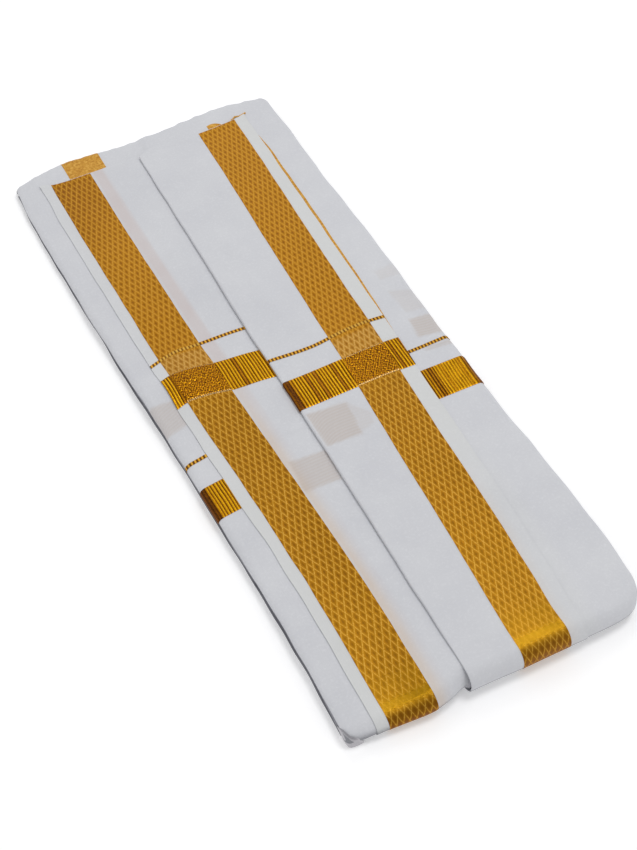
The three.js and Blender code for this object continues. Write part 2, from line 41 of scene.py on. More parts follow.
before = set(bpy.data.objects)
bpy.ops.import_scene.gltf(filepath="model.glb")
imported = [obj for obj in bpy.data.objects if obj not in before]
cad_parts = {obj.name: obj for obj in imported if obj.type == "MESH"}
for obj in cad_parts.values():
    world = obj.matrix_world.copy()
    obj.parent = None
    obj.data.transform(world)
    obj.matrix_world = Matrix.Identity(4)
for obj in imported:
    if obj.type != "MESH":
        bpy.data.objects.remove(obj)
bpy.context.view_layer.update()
MM = 0.001

# ---- the bundle's form, in millimetres ----

CREST = 16.6  # height of the top panel in the middle of the bundle
CROWN = 0.7  # extra height halfway across the right panel
LEFT_FALL = 0.034  # slope of the left panel
FOLD_THINNER = 0.42  # share by which the folded edge is thinner than its CAD solid
NOSE_THINNER = 0.27  # further share by which it thins where it turns over the near fold
FOLD_GAP = 0.3  # space between the folded edge and the left panel
HEM_RISE = 0.3  # extra height of the doubled hem at the far end of a top panel
TUCK = 0.45  # how far the hidden layer dips below the panels beside it
UNDER_FALL_LEFT = 0.06  # slope of the layer past the left selvedge
UNDER_FALL_RIGHT = 0.05  # slope of the layer past the right selvedge
NOSE = 8.0  # reach of the near fold's round
BROW = 5.0  # reach of the far edge's round
SIDE = 4.5  # reach of a side fold's round
BORDER = 25.4  # width of the zari border
BAND = 21.5  # width of a cross band, along the cloth
UNDERLAP = 7.0  # width of a hidden edge below the next panel
TURN_BACK = 14.0  # width of the right panel's turned back layer
BACK_END = 2.2  # where that layer meets the folded edge's round
# The long lines of the bundle: x at each station in y, and how far a line wanders from its curve.
STATIONS = (-200, -165, -120, -70, -20, 30, 80, 130, 180, 212)
LINES = {
    "left": (-80.3, -79.8, -80.4, -81.9, -83.4, -85.8, -88.0, -89.1, -89.9, -88.7),
    "selvedge_left": (-65.4, -65.3, -65.6, -68.1, -70.4, -72.4, -73.9, -74.8, -74.9, -74.6),
    "border_left_out": (-59.3, -59.0, -59.3, -61.0, -63.7, -66.2, -67.3, -68.1, -68.3, -68.3),
    "border_left_in": (-34.3, -33.9, -34.7, -36.6, -38.8, -41.0, -42.0, -42.4, -42.5, -42.6),
    "fold": (-16.0, -15.9, -15.3, -14.5, -14.2, -14.4, -13.3, -11.9, -10.6, -10.2),
    "border_right_in": (12.2, 14.3, 16.7, 19.3, 22.2, 24.1, 26.2, 29.1, 31.7, 32.8),
    "border_right_out": (38.6, 41.2, 43.4, 45.6, 48.2, 50.4, 52.7, 55.6, 58.4, 59.4),
    "selvedge_right": (48.4, 51.4, 53.7, 55.8, 57.9, 60.0, 61.8, 64.0, 66.5, 67.5),
    "right": (86.4, 88.0, 87.3, 85.9, 85.6, 86.6, 87.0, 87.4, 89.2, 88.4),
}
WANDER = {"selvedge_left": 0.22, "selvedge_right": 0.16, "fold": 0.15, "left": 0.16, "right": 0.3}
# Depth of the two side folds, and thickness of the right panel's folded edge, at stations in y.
FOLD_STATIONS = (-215, -165, -100, 50, 150, 218)
FOLDS = {
    "left": (3.0, 4.6, 6.0, 6.2, 5.0, 2.2),
    "right": (4.6, 7.0, 9.0, 9.4, 8.0, 3.8),
    "edge": (3.0, 3.2, 3.8, 4.0, 3.2, 2.6),
}
# The bundle's ends, hems, band middles and thin lines: places across and the y at each.
FAR_END = (
    (-90, -84, -76, -64, -51, -36, -22, -2, 12, 33, 52, 70, 84, 90),
    (212.0, 215.4, 217.6, 219.6, 221.0, 219.6, 217.4, 216.4, 216.2, 218.4, 219.6, 218.6, 217.0, 213.8),
)
NEAR_LEFT = (
    (-80, -71, -60, -48, -36, -26, -18, -8),
    (-212.6, -213.6, -214.2, -215.4, -216.4, -215.0, -212.8, -212.6),
)
NEAR_RIGHT = (
    (-19, -3, 10, 36, 57, 70, 77, 82, 86, 90),
    (-216.2, -216.8, -217.6, -218.4, -219.2, -219.0, -217.4, -213.4, -207.4, -197.0),
)
HEMS = {
    "left": ((-73, -66, -43, -20, 0), (205.2, 202.0, 200.8, 199.6, 199.0)),
    "right": ((-10, 0, 16, 33, 60, 68), (195.6, 200.0, 199.6, 198.0, 200.6, 203.0)),
}
BANDS = {
    "left": ((-72, -64, -52, -37, -24, -10), (9.6, 11.4, 10.4, 7.0, 4.8, 2.4)),
    "right": ((-15, 12, 40, 62), (-26.0, -26.4, -26.6, -27.2)),
    "under_left": ((-86, -66), (-64.6, -63.8)),
    "under_right": ((55, 86), (-53.6, -53.4)),
}
THIN_LINES = {
    "left": ((-74, -66, -56, -43, -28, -14), (33.2, 35.5, 37.4, 36.2, 34.4, 32.7)),
    "right": ((-14, 10, 33, 60), (2.1, 0.2, 1.6, 1.0)),
    "under_left": ((-86, -69), (-36.8, -35.2)),
    "under_right": ((58, 86), (-27.9, -26.8)),
}
# The two sides of each top panel's border.
BORDERS = {"left": ("border_left_out", "border_left_in"), "right": ("border_right_in", "border_right_out")}

# Soft ridges and troughs: middle x and y, half lengths across and along, turn in degrees, height.
RIDGES = (
    (-65, 15, 30, 14, 0, 2.4),
    (45, -3, 20, 20, 0, 1.5),
    (-24, -44.5, 14, 1.4, -4, 0.5),
    (-1, 133, 16, 1.5, 16, 0.4),
    (-79, 24.4, 6, 1.6, 2, 0.45),
    (3, -198, 13, 3.0, -6, 0.3),
    (76, 36, 7, 1.5, 4, -0.25),
    (76, 12, 8, 1.6, -14, -0.3),
    (70, -150, 3.0, 40, -8, 0.4),
    (62, 120, 3.0, 46, 2, 0.25),
    (6, 60, 3.5, 60, 3, 0.3),
    (-26, 120, 2.6, 50, -2, 0.25),
    (-25, -140, 3.2, 38, 4, 0.3),
    (74, -110, 14, 2.2, 12, 0.3),
    (0, -110, 18, 2.4, -9, 0.22),
)


def smooth(low, high, value):
    """0 below low, 1 above high and 3s^2 - 2s^3 between, for the share s."""
    share = np.clip((value - low) / (high - low), 0.0, 1.0)
    return share * share * (3.0 - 2.0 * share)


def curve(table, at):
    """Cubic curve through a table's (places, values), held level past its two ends.

    Its slope at a point is the rise between the two neighbours over their distance.
    """
    places, values = (np.asarray(column, float) for column in table)
    last = len(places) - 1
    at = np.clip(at, places[0], places[-1])
    i = np.clip(np.searchsorted(places, at) - 1, 0, last - 1)
    before = np.clip(np.arange(last + 1) - 1, 0, last)
    after = np.clip(np.arange(last + 1) + 1, 0, last)
    slope = (values[after] - values[before]) / (places[after] - places[before])
    span = places[i + 1] - places[i]
    t = (at - places[i]) / span
    bend = t * t * (3.0 - 2.0 * t)
    start = slope[i] * span * t * (1.0 - t) ** 2
    end = slope[i + 1] * span * t * t * (t - 1.0)
    return values[i] + (values[i + 1] - values[i]) * bend + start + end


def waves(x, y, seed, length, height):
    """Seven seeded plane waves near one wavelength: height / sqrt 7 times the sum of sin(k . p + phase)."""
    dice = np.random.default_rng(int(seed))
    total = 0.0
    for _ in range(7):
        turn, phase = dice.uniform(0.0, math.tau, 2)
        k = math.tau / (length * dice.uniform(0.7, 1.5))
        total = total + np.sin(k * (x * math.cos(turn) + y * math.sin(turn)) + phase)
    return total * height / math.sqrt(7.0)


def line(name, y):
    """x of one of the long lines at y, with the small waver of a real cloth edge."""
    seed = sorted(LINES).index(name) + 11
    return curve((STATIONS, LINES[name]), y) + waves(0.0, y, seed, 26.0, WANDER.get(name, 0.1))


def fold_size(name, y):
    """Depth of a side fold, or thickness of the folded edge, at y."""
    return curve((FOLD_STATIONS, FOLDS[name]), y)


def edge_thickness(y):
    """Thickness of the right panel's folded edge at y."""
    return fold_size("edge", y) * (1.0 - FOLD_THINNER - NOSE_THINNER * smooth(-180.0, -206.0, y))


def far_end(x):
    """y of the far end at x, with the small unevenness of many cloth edges."""
    return curve(FAR_END, x) + waves(x, 0.0, 31, 8.0, 0.3)


def hem_rise(table, x, y):
    """Height of a hem: nothing up to 4 mm before the hem line, then one fold of thin cloth more."""
    return HEM_RISE * smooth(-4.2, -3.0, y - curve(table, x))


def loft(y):
    """Share of the full height at y: the bundle thins out towards both ends."""
    return 1.0 - 0.24 * smooth(60.0, 212.0, y) - 0.05 * smooth(-130.0, -210.0, y)


def relief(x, y):
    """Ridges as turned Gaussian humps, with the slack of the pile below as long low waves."""
    height = waves(x, y, 5, 70.0, 0.22) + waves(x, y, 6, 23.0, 0.07) + waves(x, y, 9, 9.0, 0.018)
    for middle_x, middle_y, across, along, turn, high in RIDGES:
        c, s = math.cos(math.radians(turn)), math.sin(math.radians(turn))
        u = (x - middle_x) * c + (y - middle_y) * s
        v = (y - middle_y) * c - (x - middle_x) * s
        height = height + high * np.exp(-((u / across) ** 2) - (v / along) ** 2)
    return height


def right_height(x, y):
    """Height of the right top panel: a crest with a half-sine crown across its width."""
    share = (x - line("fold", y)) / (line("selvedge_right", y) - line("fold", y))
    return (CREST + CROWN * np.sin(np.pi * np.clip(share, 0.0, 1.0))) * loft(y) + relief(x, y)


def left_height(x, y):
    """Height of the left top panel: it slopes down to the left from below the folded edge.

    The fold's thickness above it is the thinned one beside the fold, and the full one further left.
    """
    short = line("fold", y) - x
    near_fold = smooth(34.0, 2.0, short)
    thick = fold_size("edge", y) * (1.0 - near_fold) + edge_thickness(y) * near_fold
    return CREST * loft(y) - thick - FOLD_GAP - LEFT_FALL * short + relief(x, y)


def hemmed(height, side):
    """Outside of a top panel: its height, with its hem."""
    return lambda x, y: height(x, y) + hem_rise(HEMS[side], x, y)


def fallen(height, side, sign, fall):
    """Outside of the layer below a top panel, which falls away past the panel's selvedge."""

    def outside(x, y):
        past = np.maximum(0.0, sign * (x - line("selvedge_" + side, y)))
        return height(x, y) - sizes().layer - fall * past

    return outside


def far_under(x, y):
    """The hidden layer that looks out past the hems, one layer below the top panels.

    It runs level into the panels on both sides and dips below their hidden edges.
    """
    step = smooth(-3.0, 3.0, x - line("fold", y) - UNDERLAP)
    left, right = line("selvedge_left", y) + UNDERLAP, line("selvedge_right", y) - UNDERLAP
    tuck = TUCK * (smooth(left, left - 1.5, x) + smooth(right, right + 1.5, x))
    lower = right_height(x, y) - 0.4 * smooth(right, right - 10.0, x)
    return left_height(x, y) * (1.0 - step) + lower * step - sizes().layer - tuck


# A panel: its height, the table of its near end and how many layers its near round is inset.
PANELS = {
    "right": (hemmed(right_height, "right"), NEAR_RIGHT, 0),
    "left": (hemmed(left_height, "left"), NEAR_LEFT, 0),
    "under_left": (fallen(left_height, "left", -1, UNDER_FALL_LEFT), NEAR_LEFT, 1),
    "under_right": (fallen(right_height, "right", 1, UNDER_FALL_RIGHT), NEAR_RIGHT, 1),
    "far_under": (far_under, NEAR_LEFT, 1),
}

# ---- places across and along a panel ----


def edge(name, shift=0.0):
    """A long line of the bundle, moved across by shift."""
    return lambda y: line(name, y) + shift


def end(table, shift=0.0):
    """An end, hem or band line of the bundle, moved along by shift."""
    return lambda x: curve(table, x) + shift


def fixed(place):
    """A straight line at one place."""
    return lambda at: place + 0.0 * at


def far_brow(x):
    """y where a panel starts to turn down over the far edge."""
    return far_end(x) - BROW


def nose_start(panel):
    """y where a panel starts to turn down over the near fold."""
    return end(PANELS[panel][1], NOSE)


def flat_columns(start, stop, spacing, width):
    """Columns spread evenly between two long lines: width, their distance, over spacing is their number."""
    count = max(1, round(width / spacing))

    def at(share):
        return lambda y, out: ((1.0 - share) * start(y) + share * stop(y), 0.0 * y - out)

    return [at(k / count) for k in range(count + 1)]


def straight_columns(first, last, spacing):
    """Columns spread evenly between two places across the bundle."""
    return flat_columns(fixed(first), fixed(last), spacing, last - first)


def round_columns(name, angles):
    """Columns round a fold along one of the long lines, at angles in degrees from its top.

    x is line + side ((reach + out) sin a - reach), and the depth is h - (h + out) cos a, with h half the
    fold's depth. The right panel's folded edge is a half circle, so its reach is h.
    """
    side = 1 if name == "right" else -1

    def at(angle):
        def place(y, out):
            half = (edge_thickness(y) if name == "fold" else fold_size(name, y)) / 2.0
            reach = half if name == "fold" else SIDE
            x = line(name, y) + side * ((reach + out) * math.sin(angle) - reach)
            return x, half - (half + out) * math.cos(angle)

        return place

    return [at(math.radians(a)) for a in angles]


def back_columns(spacing):
    """Columns of the layer turned back below the folded edge, from its free edge to the fold."""

    def at(reach):
        return lambda y, out: (line("fold", y) + reach, edge_thickness(y) + out)

    count = round(TURN_BACK / spacing)
    return [at(TURN_BACK + (BACK_END - TURN_BACK) * k / count) for k in range(count)]


def crossing(panel, spacing, angles):
    """Columns across all that shows of a panel with a band, and round its fold at the given angles."""
    if panel == "left":
        return flat_columns(edge("selvedge_left"), edge("fold", 0.6), spacing, 58.0)
    if panel == "right":
        flat = flat_columns(edge("fold", 2.0), edge("selvedge_right"), spacing, 72.0)
        return [*round_columns("fold", angles), *flat]
    if panel == "under_left":
        flat = flat_columns(edge("left", SIDE), edge("selvedge_left", 1.0), spacing, 11.0)
        return [*round_columns("left", angles), *flat]
    flat = flat_columns(edge("selvedge_right", -1.0), edge("right", -SIDE), spacing, 26.0)
    return [*flat, *round_columns("right", angles)]


def panel_grid(panel, columns, start, stop, spacing, far_turn=0, near_turn=0, out=0.0, length=420.0):
    """Points of a panel on rows x columns, moved out from its outside by out millimetres.

    A row lies at the same share of the way from start(x) to stop(x), and length, their distance, over
    spacing is the number of rows. The turns are the degrees that the rows run on round the two ends, a
    up to that turn and d a column's depth below the height H. Past start the far round is
    y + (BROW - d) sin a, H/2 + (H/2 - d) cos a; past stop the near round is
    y - (NOSE - inset - d) sin a, m + (H - m - d) cos a with m = (H + inset) / 2.
    """
    top, _, layers = PANELS[panel]
    inset = layers * sizes().layer
    flat = max(2, round(length / spacing))
    turns = [np.linspace(0.0, angle, max(2, round(angle / 6.0)) + 1)[1:] if angle else np.zeros(0)
             for angle in (far_turn, near_turn)]
    shares = np.linspace(0.0, 1.0, flat + 1)
    share = np.concatenate([0.0 * turns[0], shares, 1.0 + 0.0 * turns[1]])
    far = np.radians(np.concatenate([turns[0][::-1], 0.0 * shares, 0.0 * turns[1]]))
    near = np.radians(np.concatenate([0.0 * turns[0], 0.0 * shares, turns[1]]))
    grid = np.zeros((len(share), len(columns), 3))
    for j, place in enumerate(columns):
        lift = out[:, j] if np.ndim(out) else out
        x = place(np.zeros(len(share)), 0.0)[0]
        for _ in range(3):
            y = (1.0 - share) * start(x) + share * stop(x)
            x = place(y, 0.0)[0]
        x, depth = place(y, lift)
        height = top(np.clip(x, line("left", y) + SIDE, line("right", y) - SIDE), y)
        middle = np.where(near > 0.0, (height + inset) / 2.0, height / 2.0)
        z = middle + (height - middle - depth) * np.cos(near + far)
        y = y - (NOSE - inset - depth) * np.sin(near) + (BROW - depth) * np.sin(far)
        grid[:, j] = np.stack([x, y, z], -1)
    return grid


def arc_lengths(grid):
    """Distances across and along the cloth at each point, in millimetres, summed from point to point."""
    across = np.linalg.norm(np.diff(grid, axis=1), axis=2)
    along = np.linalg.norm(np.diff(grid, axis=0), axis=2)
    u = np.concatenate([np.zeros((grid.shape[0], 1)), np.cumsum(across, axis=1)], axis=1)
    v = np.concatenate([np.zeros((1, grid.shape[1])), np.cumsum(along, axis=0)], axis=0)
    return u, v


# ---- meshes ----


def add_object(name, data, place=(0.0, 0.0, 0.0), look=None):
    """An object in the scene at a place in metres, its -Z axis along look where one is given."""
    made = bpy.data.objects.new(name, data)
    made.location = place
    if look is not None:
        made.rotation_euler = Vector(look).to_track_quat("-Z", "Y").to_euler()
    bpy.context.scene.collection.objects.link(made)
    return made


def write_mesh(name, points, faces, uv, fields, paint, sharp=40.0):
    """One object at the origin from points in millimetres, with its UV map in metres and point fields."""
    mesh = bpy.data.meshes.new(name)
    mesh.from_pydata((points * MM).tolist(), [], faces.tolist())
    mesh.validate()
    layer = mesh.uv_layers.new(name="UVMap")
    corner = np.zeros(len(mesh.loops), np.int32)
    mesh.loops.foreach_get("vertex_index", corner)
    layer.data.foreach_set("uv", (uv[corner] * MM).astype(np.float32).ravel())
    for field, values in fields.items():
        attribute = mesh.attributes.new(field, "FLOAT", "POINT")
        attribute.data.foreach_set("value", np.asarray(values, np.float32).ravel())
    mesh.polygons.foreach_set("use_smooth", np.ones(len(mesh.polygons), bool))
    mesh.set_sharp_from_angle(angle=math.radians(sharp))
    mesh.materials.append(paint)
    return add_object(name, mesh)


def grid_faces(index):
    """Quads of a grid of point numbers, facing up where rows run towards -Y and columns towards +X."""
    corners = (index[:-1, :-1], index[1:, :-1], index[1:, 1:], index[:-1, 1:])
    return np.stack(corners, -1).reshape(-1, 4)


def rim_faces(index, size):
    """Quads that close a shell along its rim: each rim edge joined to the same edge of the inner grid."""
    loop = np.concatenate([index[:-1, 0], index[-1, :-1], index[:0:-1, -1], index[0, :0:-1]])
    after = np.roll(loop, -1)
    return np.stack([after, loop, loop + size, after + size], -1)


def shell(name, outer, inner, fields, paint, nodes):
    """A closed thin sheet between two grids of points, on the root and standing for its CAD nodes."""
    size = outer.shape[0] * outer.shape[1]
    index = np.arange(size).reshape(outer.shape[:2])
    faces = np.concatenate([grid_faces(index), grid_faces(index)[:, ::-1] + size, rim_faces(index, size)])
    u, v = arc_lengths(outer)
    uv = np.tile(np.stack([u.ravel(), v.ravel()], -1), (2, 1))
    points = np.concatenate([outer.reshape(-1, 3), inner.reshape(-1, 3)])
    doubled = {key: np.tile(np.ravel(values), 2) for key, values in fields.items()}
    made = write_mesh(name, points, faces, uv, doubled, paint)
    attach(made, "root")
    if nodes:
        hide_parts(*nodes)
    return made


# ---- what shows in the cotton: patches of hidden zari, warm margins, painted glow beside the borders, painted shade ----

# Tints of the cotton by point field, painted light and painted shade among them: the name of its colour
# on the scene and how much of it shows.
COTTON_TINTS = (("margin", 0.5), ("pink", 0.55), ("glow", 0.45), ("ghost", 0.6), ("dim", 0.8))
SOFT = 0.8  # half width of a tint's soft edge
FRONT_DIM = (8.6, 5.0)  # heights between which painted shade grows on the near fold's front
SIDE_DIM = (0.7, 1.2)  # depths between which painted shade grows on a side fold, as shares of half the fold's depth
SIDE_DIMS = (("left", -1, 0.95), ("right", 1, 0.55))  # a side fold's line, its side and how dark its painted shade grows
# Patches of a hidden band seen through the cloth: four corners in order, and strength.
GHOSTS = {
    "right": (((-13, -40.5), (10.5, -43.2), (8, -66), (-12.5, -64.5), 1.0),
              ((10.0, -43.8), (19, -56), (17, -62.5), (7, -65.2), 0.4)),
    "left": (((-34, -61.8), (-12.8, -64.6), (-14.5, -85), (-35.5, -82.4), 0.9),),
    "under_left": (((-86, 8), (-71, 6.0), (-70, -12), (-86, -14.2), 0.8),),
    "under_right": (((71.1, -6.4), (87, -7.2), (87, -22.8), (69.2, -20.3), 0.95),
                    ((68.5, -28.4), (87, -29.2), (87, -32.6), (67.9, -31.4), 0.75),
                    ((71.5, 18.5), (88, 13.0), (88, -2.0), (72.5, -1.0), 0.35),
                    ((71.6, 36.0), (88, 37.5), (88, 28.0), (72, 28.0), 0.28)),
    "far_under": (),
}


def inside_patch(corners, x, y):
    """1 inside a four-cornered patch and 0 outside, with a soft edge."""
    shape = np.asarray(corners, float)
    middle = shape.mean(axis=0)
    nearest = np.full(np.shape(x), np.inf)
    for a, b in zip(shape, np.roll(shape, -1, axis=0)):
        normal = np.array([a[1] - b[1], b[0] - a[0]]) / np.linalg.norm(b - a)
        normal = normal * np.sign(normal @ (middle - a))
        nearest = np.minimum(nearest, (x - a[0]) * normal[0] + (y - a[1]) * normal[1])
    return smooth(-SOFT, SOFT, nearest)


def painted_foot_shade(grid, high, low):
    """Point field of the painted shade at a fold's foot: 1 below the height low, 0 above high and on the
    floor.
    """
    return smooth(high, low, grid[..., 2]) * smooth(0.0, 0.4 * low, grid[..., 2])


def painted_turn_shade(panel, grid):
    """Painted shade on the near fold's front foot and in a line below a side fold's widest point.

    In a side fold the painted shade grows with the depth below the top. It is darker on the left, where
    the bundle lies closest to the table.
    """
    x, y = grid[..., 0], grid[..., 1]
    top, table, _ = PANELS[panel]
    dim = painted_foot_shade(grid, *FRONT_DIM) * smooth(1.0, 4.0, curve(table, x) + NOSE - y)
    for name, side, most in SIDE_DIMS:
        start = line(name, y) - side * SIDE
        share = (top(start, y) - grid[..., 2]) / (fold_size(name, y) / 2.0)
        dim = np.maximum(dim, most * smooth(*SIDE_DIM, share) * smooth(0.0, 1.0, side * (x - start)))
    return dim


def tint_fields(grid, **given):
    """The cotton's point fields over a grid: the given ones, and none of the others."""
    none = np.zeros(grid.shape[:-1])
    return {field: given.get(field, none) for field, _ in COTTON_TINTS}


def cotton_fields(panel, grid):
    """Point fields of a cotton panel: ghosts of hidden zari, pink, painted orange glow, warm margin,
    painted shade at the foot.

    Past the left border the cotton is pink in its far part, where a hidden border lies below, and has
    the gold's glow painted on it in its near part. The margin is warm outside both borders. Near the near
    fold the right border's glow is painted on both sides.
    """
    x, y = grid[..., 0], grid[..., 1]
    fields = tint_fields(grid, dim=painted_turn_shade(panel, grid))
    for *corners, strength in GHOSTS[panel]:
        fields["ghost"] = np.maximum(fields["ghost"], strength * inside_patch(corners, x, y))
    if panel == "left":
        past = x - line("border_left_in", y)
        far_part = smooth(-60.0, 40.0, y)
        fields["pink"] = smooth(0.2, 1.6, past) * smooth(9.5, 7.0, past) * (0.25 + 0.75 * far_part)
        fields["glow"] = smooth(0.0, 0.8, past) * smooth(7.5, 1.0, past) * (1.0 - far_part)
        outside = smooth(SOFT, -SOFT, x - line("border_left_out", y))
        fields["margin"] = outside * (1.0 - 0.5 * smooth(-80.0, 60.0, y))
    if panel == "right":
        past = x - line("border_right_out", y)
        fields["margin"] = smooth(-SOFT, SOFT, past) * (1.0 - 0.6 * smooth(-60.0, -150.0, y))
        fields["glow"] = 0.3 * smooth(7.0, 0.0, np.abs(past)) * smooth(-90.0, -150.0, y)
    if panel == "under_right":
        past = x - line("selvedge_right", y)
        fields["margin"] = 0.35 * smooth(12.0, 2.0, past) * smooth(-60.0, -150.0, y)
    return fields


# ---- materials ----

# Thread pitches in metres, coarser than real threads so that they show.
COTTON_PITCH = 0.0008
GHOST_PITCH = 0.0019  # lines of hidden zari seen through the cotton
BORDER_PITCH = 0.0007
WRAP_PITCH = 0.0009  # metal wraps round the yarn of a band
BACK_PITCH = 0.0008
FLECK_TINT = "#F4F5F8"  # light flecks of the cotton
GILT_TINT = "#F6CA9C"  # shine between the metal wraps, which is gold rather than white
FRONT_SHADE_TINT = "#6E3A04"  # painted shade on the border's front below the near fold
PRESSED_HIGHLIGHT_TINT = "#A87C00"  # painted highlight on the border's pressed threads at the near fold
PICOT_TINT = "#E2C48A"  # light threads at the edges of a band's middle


def linear(hexadecimal):
    """An sRGB hex colour as linear RGBA."""
    channels = np.array([int(hexadecimal[k:k + 2], 16) for k in (1, 3, 5)]) / 255.0
    return (*np.where(channels <= 0.04045, channels / 12.92, ((channels + 0.055) / 1.055) ** 2.4), 1.0)


def node(tree, kind, inputs=(), out=0, stops=(), **settings):
    """Adds one shader node with its settings and ramp stops, sets or links its inputs, returns an output."""
    made = tree.nodes.new("ShaderNode" + kind)
    for name, value in settings.items():
        setattr(made, name, value)
    for _ in stops[2:]:
        made.color_ramp.elements.new(0.5)
    for number, (position, colour) in enumerate(stops):
        made.color_ramp.elements[number].position = position
        made.color_ramp.elements[number].color = linear(colour)
    for key, value in (inputs if isinstance(inputs, dict) else dict(enumerate(inputs))).items():
        if isinstance(value, bpy.types.NodeSocket):
            tree.links.new(value, made.inputs[key])
        else:
            made.inputs[key].default_value = value
    return made.outputs[out] if len(made.outputs) else made


def finish_material(tree, inputs, bumps):
    """Ends a material with one shader: bumps are (height, strength, distance in metres), stacked."""
    normal = None
    for height, strength, distance in bumps:
        given = {"Height": height, "Strength": strength, "Distance": distance}
        if normal is not None:
            given["Normal"] = normal
        normal = node(tree, "Bump", given)
    shader = node(tree, "BsdfPrincipled", {**inputs, "Normal": normal})
    node(tree, "OutputMaterial", {"Surface": shader})


def cloth_axes(tree):
    """The two cloth coordinates of a piece's UV map, in metres, and its place in space."""
    uv = node(tree, "UVMap", uv_map="UVMap")
    split = node(tree, "SeparateXYZ", (uv,)).node
    return split.outputs[0], split.outputs[1], node(tree, "TexCoord", out=3)


def ripple(tree, along, pitch):
    """sin(2 pi along / pitch), for threads one pitch apart."""
    turns = node(tree, "Math", (along, math.tau / pitch), operation="MULTIPLY")
    return node(tree, "Math", (turns,), operation="SINE")


def plain_weave(tree, u, v, pitch, share=1.0):
    """Height of a plain weave: sin(2 pi u / pitch) times sin(2 pi v / (pitch share))."""
    warp, weft = ripple(tree, u, pitch), ripple(tree, v, pitch * share)
    return node(tree, "Math", (warp, weft), operation="MULTIPLY")


def speckled(tree, value, place, scale, amount):
    """A value with fine noise added, amount wide, so that its tones break up as threads do."""
    grain = node(tree, "TexNoise", {"Vector": place, "Scale": scale, "Detail": 2.0})
    spread = node(tree, "MapRange", (grain, 0.25, 0.75, -amount / 2.0, amount / 2.0))
    return node(tree, "Math", (value, spread), operation="ADD")


def cotton(tree, body, shade):
    """Bleached handloom cotton, plain woven: matt, cool white, clouded, with slubs and an uneven weave.

    Real threads are 0.35 mm apart, too fine to show, so the weave is drawn coarser. Hidden zari shows
    through in lines along the weft, and the other tints are patchy.
    """
    u, v, place = cloth_axes(tree)
    cloud = node(tree, "TexNoise", {"Vector": place, "Scale": 38.0, "Detail": 4.0, "Roughness": 0.6})
    flecks = node(tree, "TexNoise", {"Vector": place, "Scale": 750.0, "Detail": 2.0})
    stretched = node(tree, "Mapping", {0: place, 3: (1500.0, 90.0, 400.0)})
    slubs = node(tree, "TexNoise", {"Vector": stretched, "Scale": 1.0, "Detail": 1.0})
    uneven = node(tree, "MapRange", (cloud, 0.3, 0.7))
    colour = node(tree, "Mix", {0: uneven, 6: linear(body), 7: linear(shade)}, 2, data_type="RGBA")
    light = node(tree, "MapRange", (flecks, 0.5, 0.8, 0.0, 0.18))
    colour = node(tree, "Mix", {0: light, 6: colour, 7: linear(FLECK_TINT)}, 2, data_type="RGBA")
    patchy = node(tree, "MapRange", (cloud, 0.2, 0.7, 0.65, 1.0))
    picks = node(tree, "MapRange", (ripple(tree, v, GHOST_PITCH), -1.0, 1.0, 0.74, 1.0))
    for field, amount in COTTON_TINTS:
        strength = node(tree, "Attribute", (), 2, attribute_name=field)
        strength = node(tree, "Math", (strength, amount), operation="MULTIPLY")
        broken = picks if field == "ghost" else patchy
        strength = node(tree, "Math", (strength, broken), operation="MULTIPLY")
        tint_or_painted_light = tuple(getattr(tints_and_painted_light(), field))
        colour = node(tree, "Mix", {0: strength, 6: colour, 7: tint_or_painted_light}, 2, data_type="RGBA")
    weave = plain_weave(tree, u, v, COTTON_PITCH)
    looks = {"Base Color": colour, "Roughness": 0.92, "Specular IOR Level": 0.25,
             "Sheen Weight": 0.12, "Sheen Roughness": 0.5}
    finish_material(tree, looks, ((weave, 0.3, 0.00005), (slubs, 0.25, 0.0001), (cloud, 0.3, 0.0006)))


# Tones of the border from its raised threads to the hearts of its cells.
BRIGHT_TONES = ((0.0, "#CEA044"), (0.05, "#B88624"), (0.12, "#A26E08"), (0.42, "#805200"))
DULL_TONES = ((0.0, "#C48C30"), (0.07, "#BA821E"), (0.2, "#AC740E"), (0.42, "#865002"))
PALE_TONES = ((0.0, "#CEA868"), (0.08, "#C09650"), (0.22, "#AE8036"), (0.42, "#94661E"))
# Tones of a band from its gaps to its crowns, of the border's back, and of a thin line's beads from
# their ends to their middles, over cotton and over the border.
RIB_TONES = ((0.08, "#3C1C02"), (0.34, "#784402"), (0.62, "#B47800"), (0.95, "#DEA810"))
BACK_TONES = ((0.3, "#B47C2E"), (0.5, "#CC9840"), (0.7, "#DCB058"))
BEAD_TONES = ((0.1, "#55300A"), (0.19, "#74460A"), (0.29, "#C48A18"), (0.44, "#E0AC3A"))
GILT_TONES = ((0.06, "#6A4008"), (0.2, "#A87824"), (0.42, "#D4A844"))


def finish_zari(tree, colour, metal, rough, bumps):
    """Ends a zari material: metal is the share of it that shines as metal."""
    gilt = linear(GILT_TINT)
    looks = {"Base Color": colour, "Metallic": metal, "Roughness": rough, "Specular Tint": gilt}
    finish_material(tree, looks, bumps)


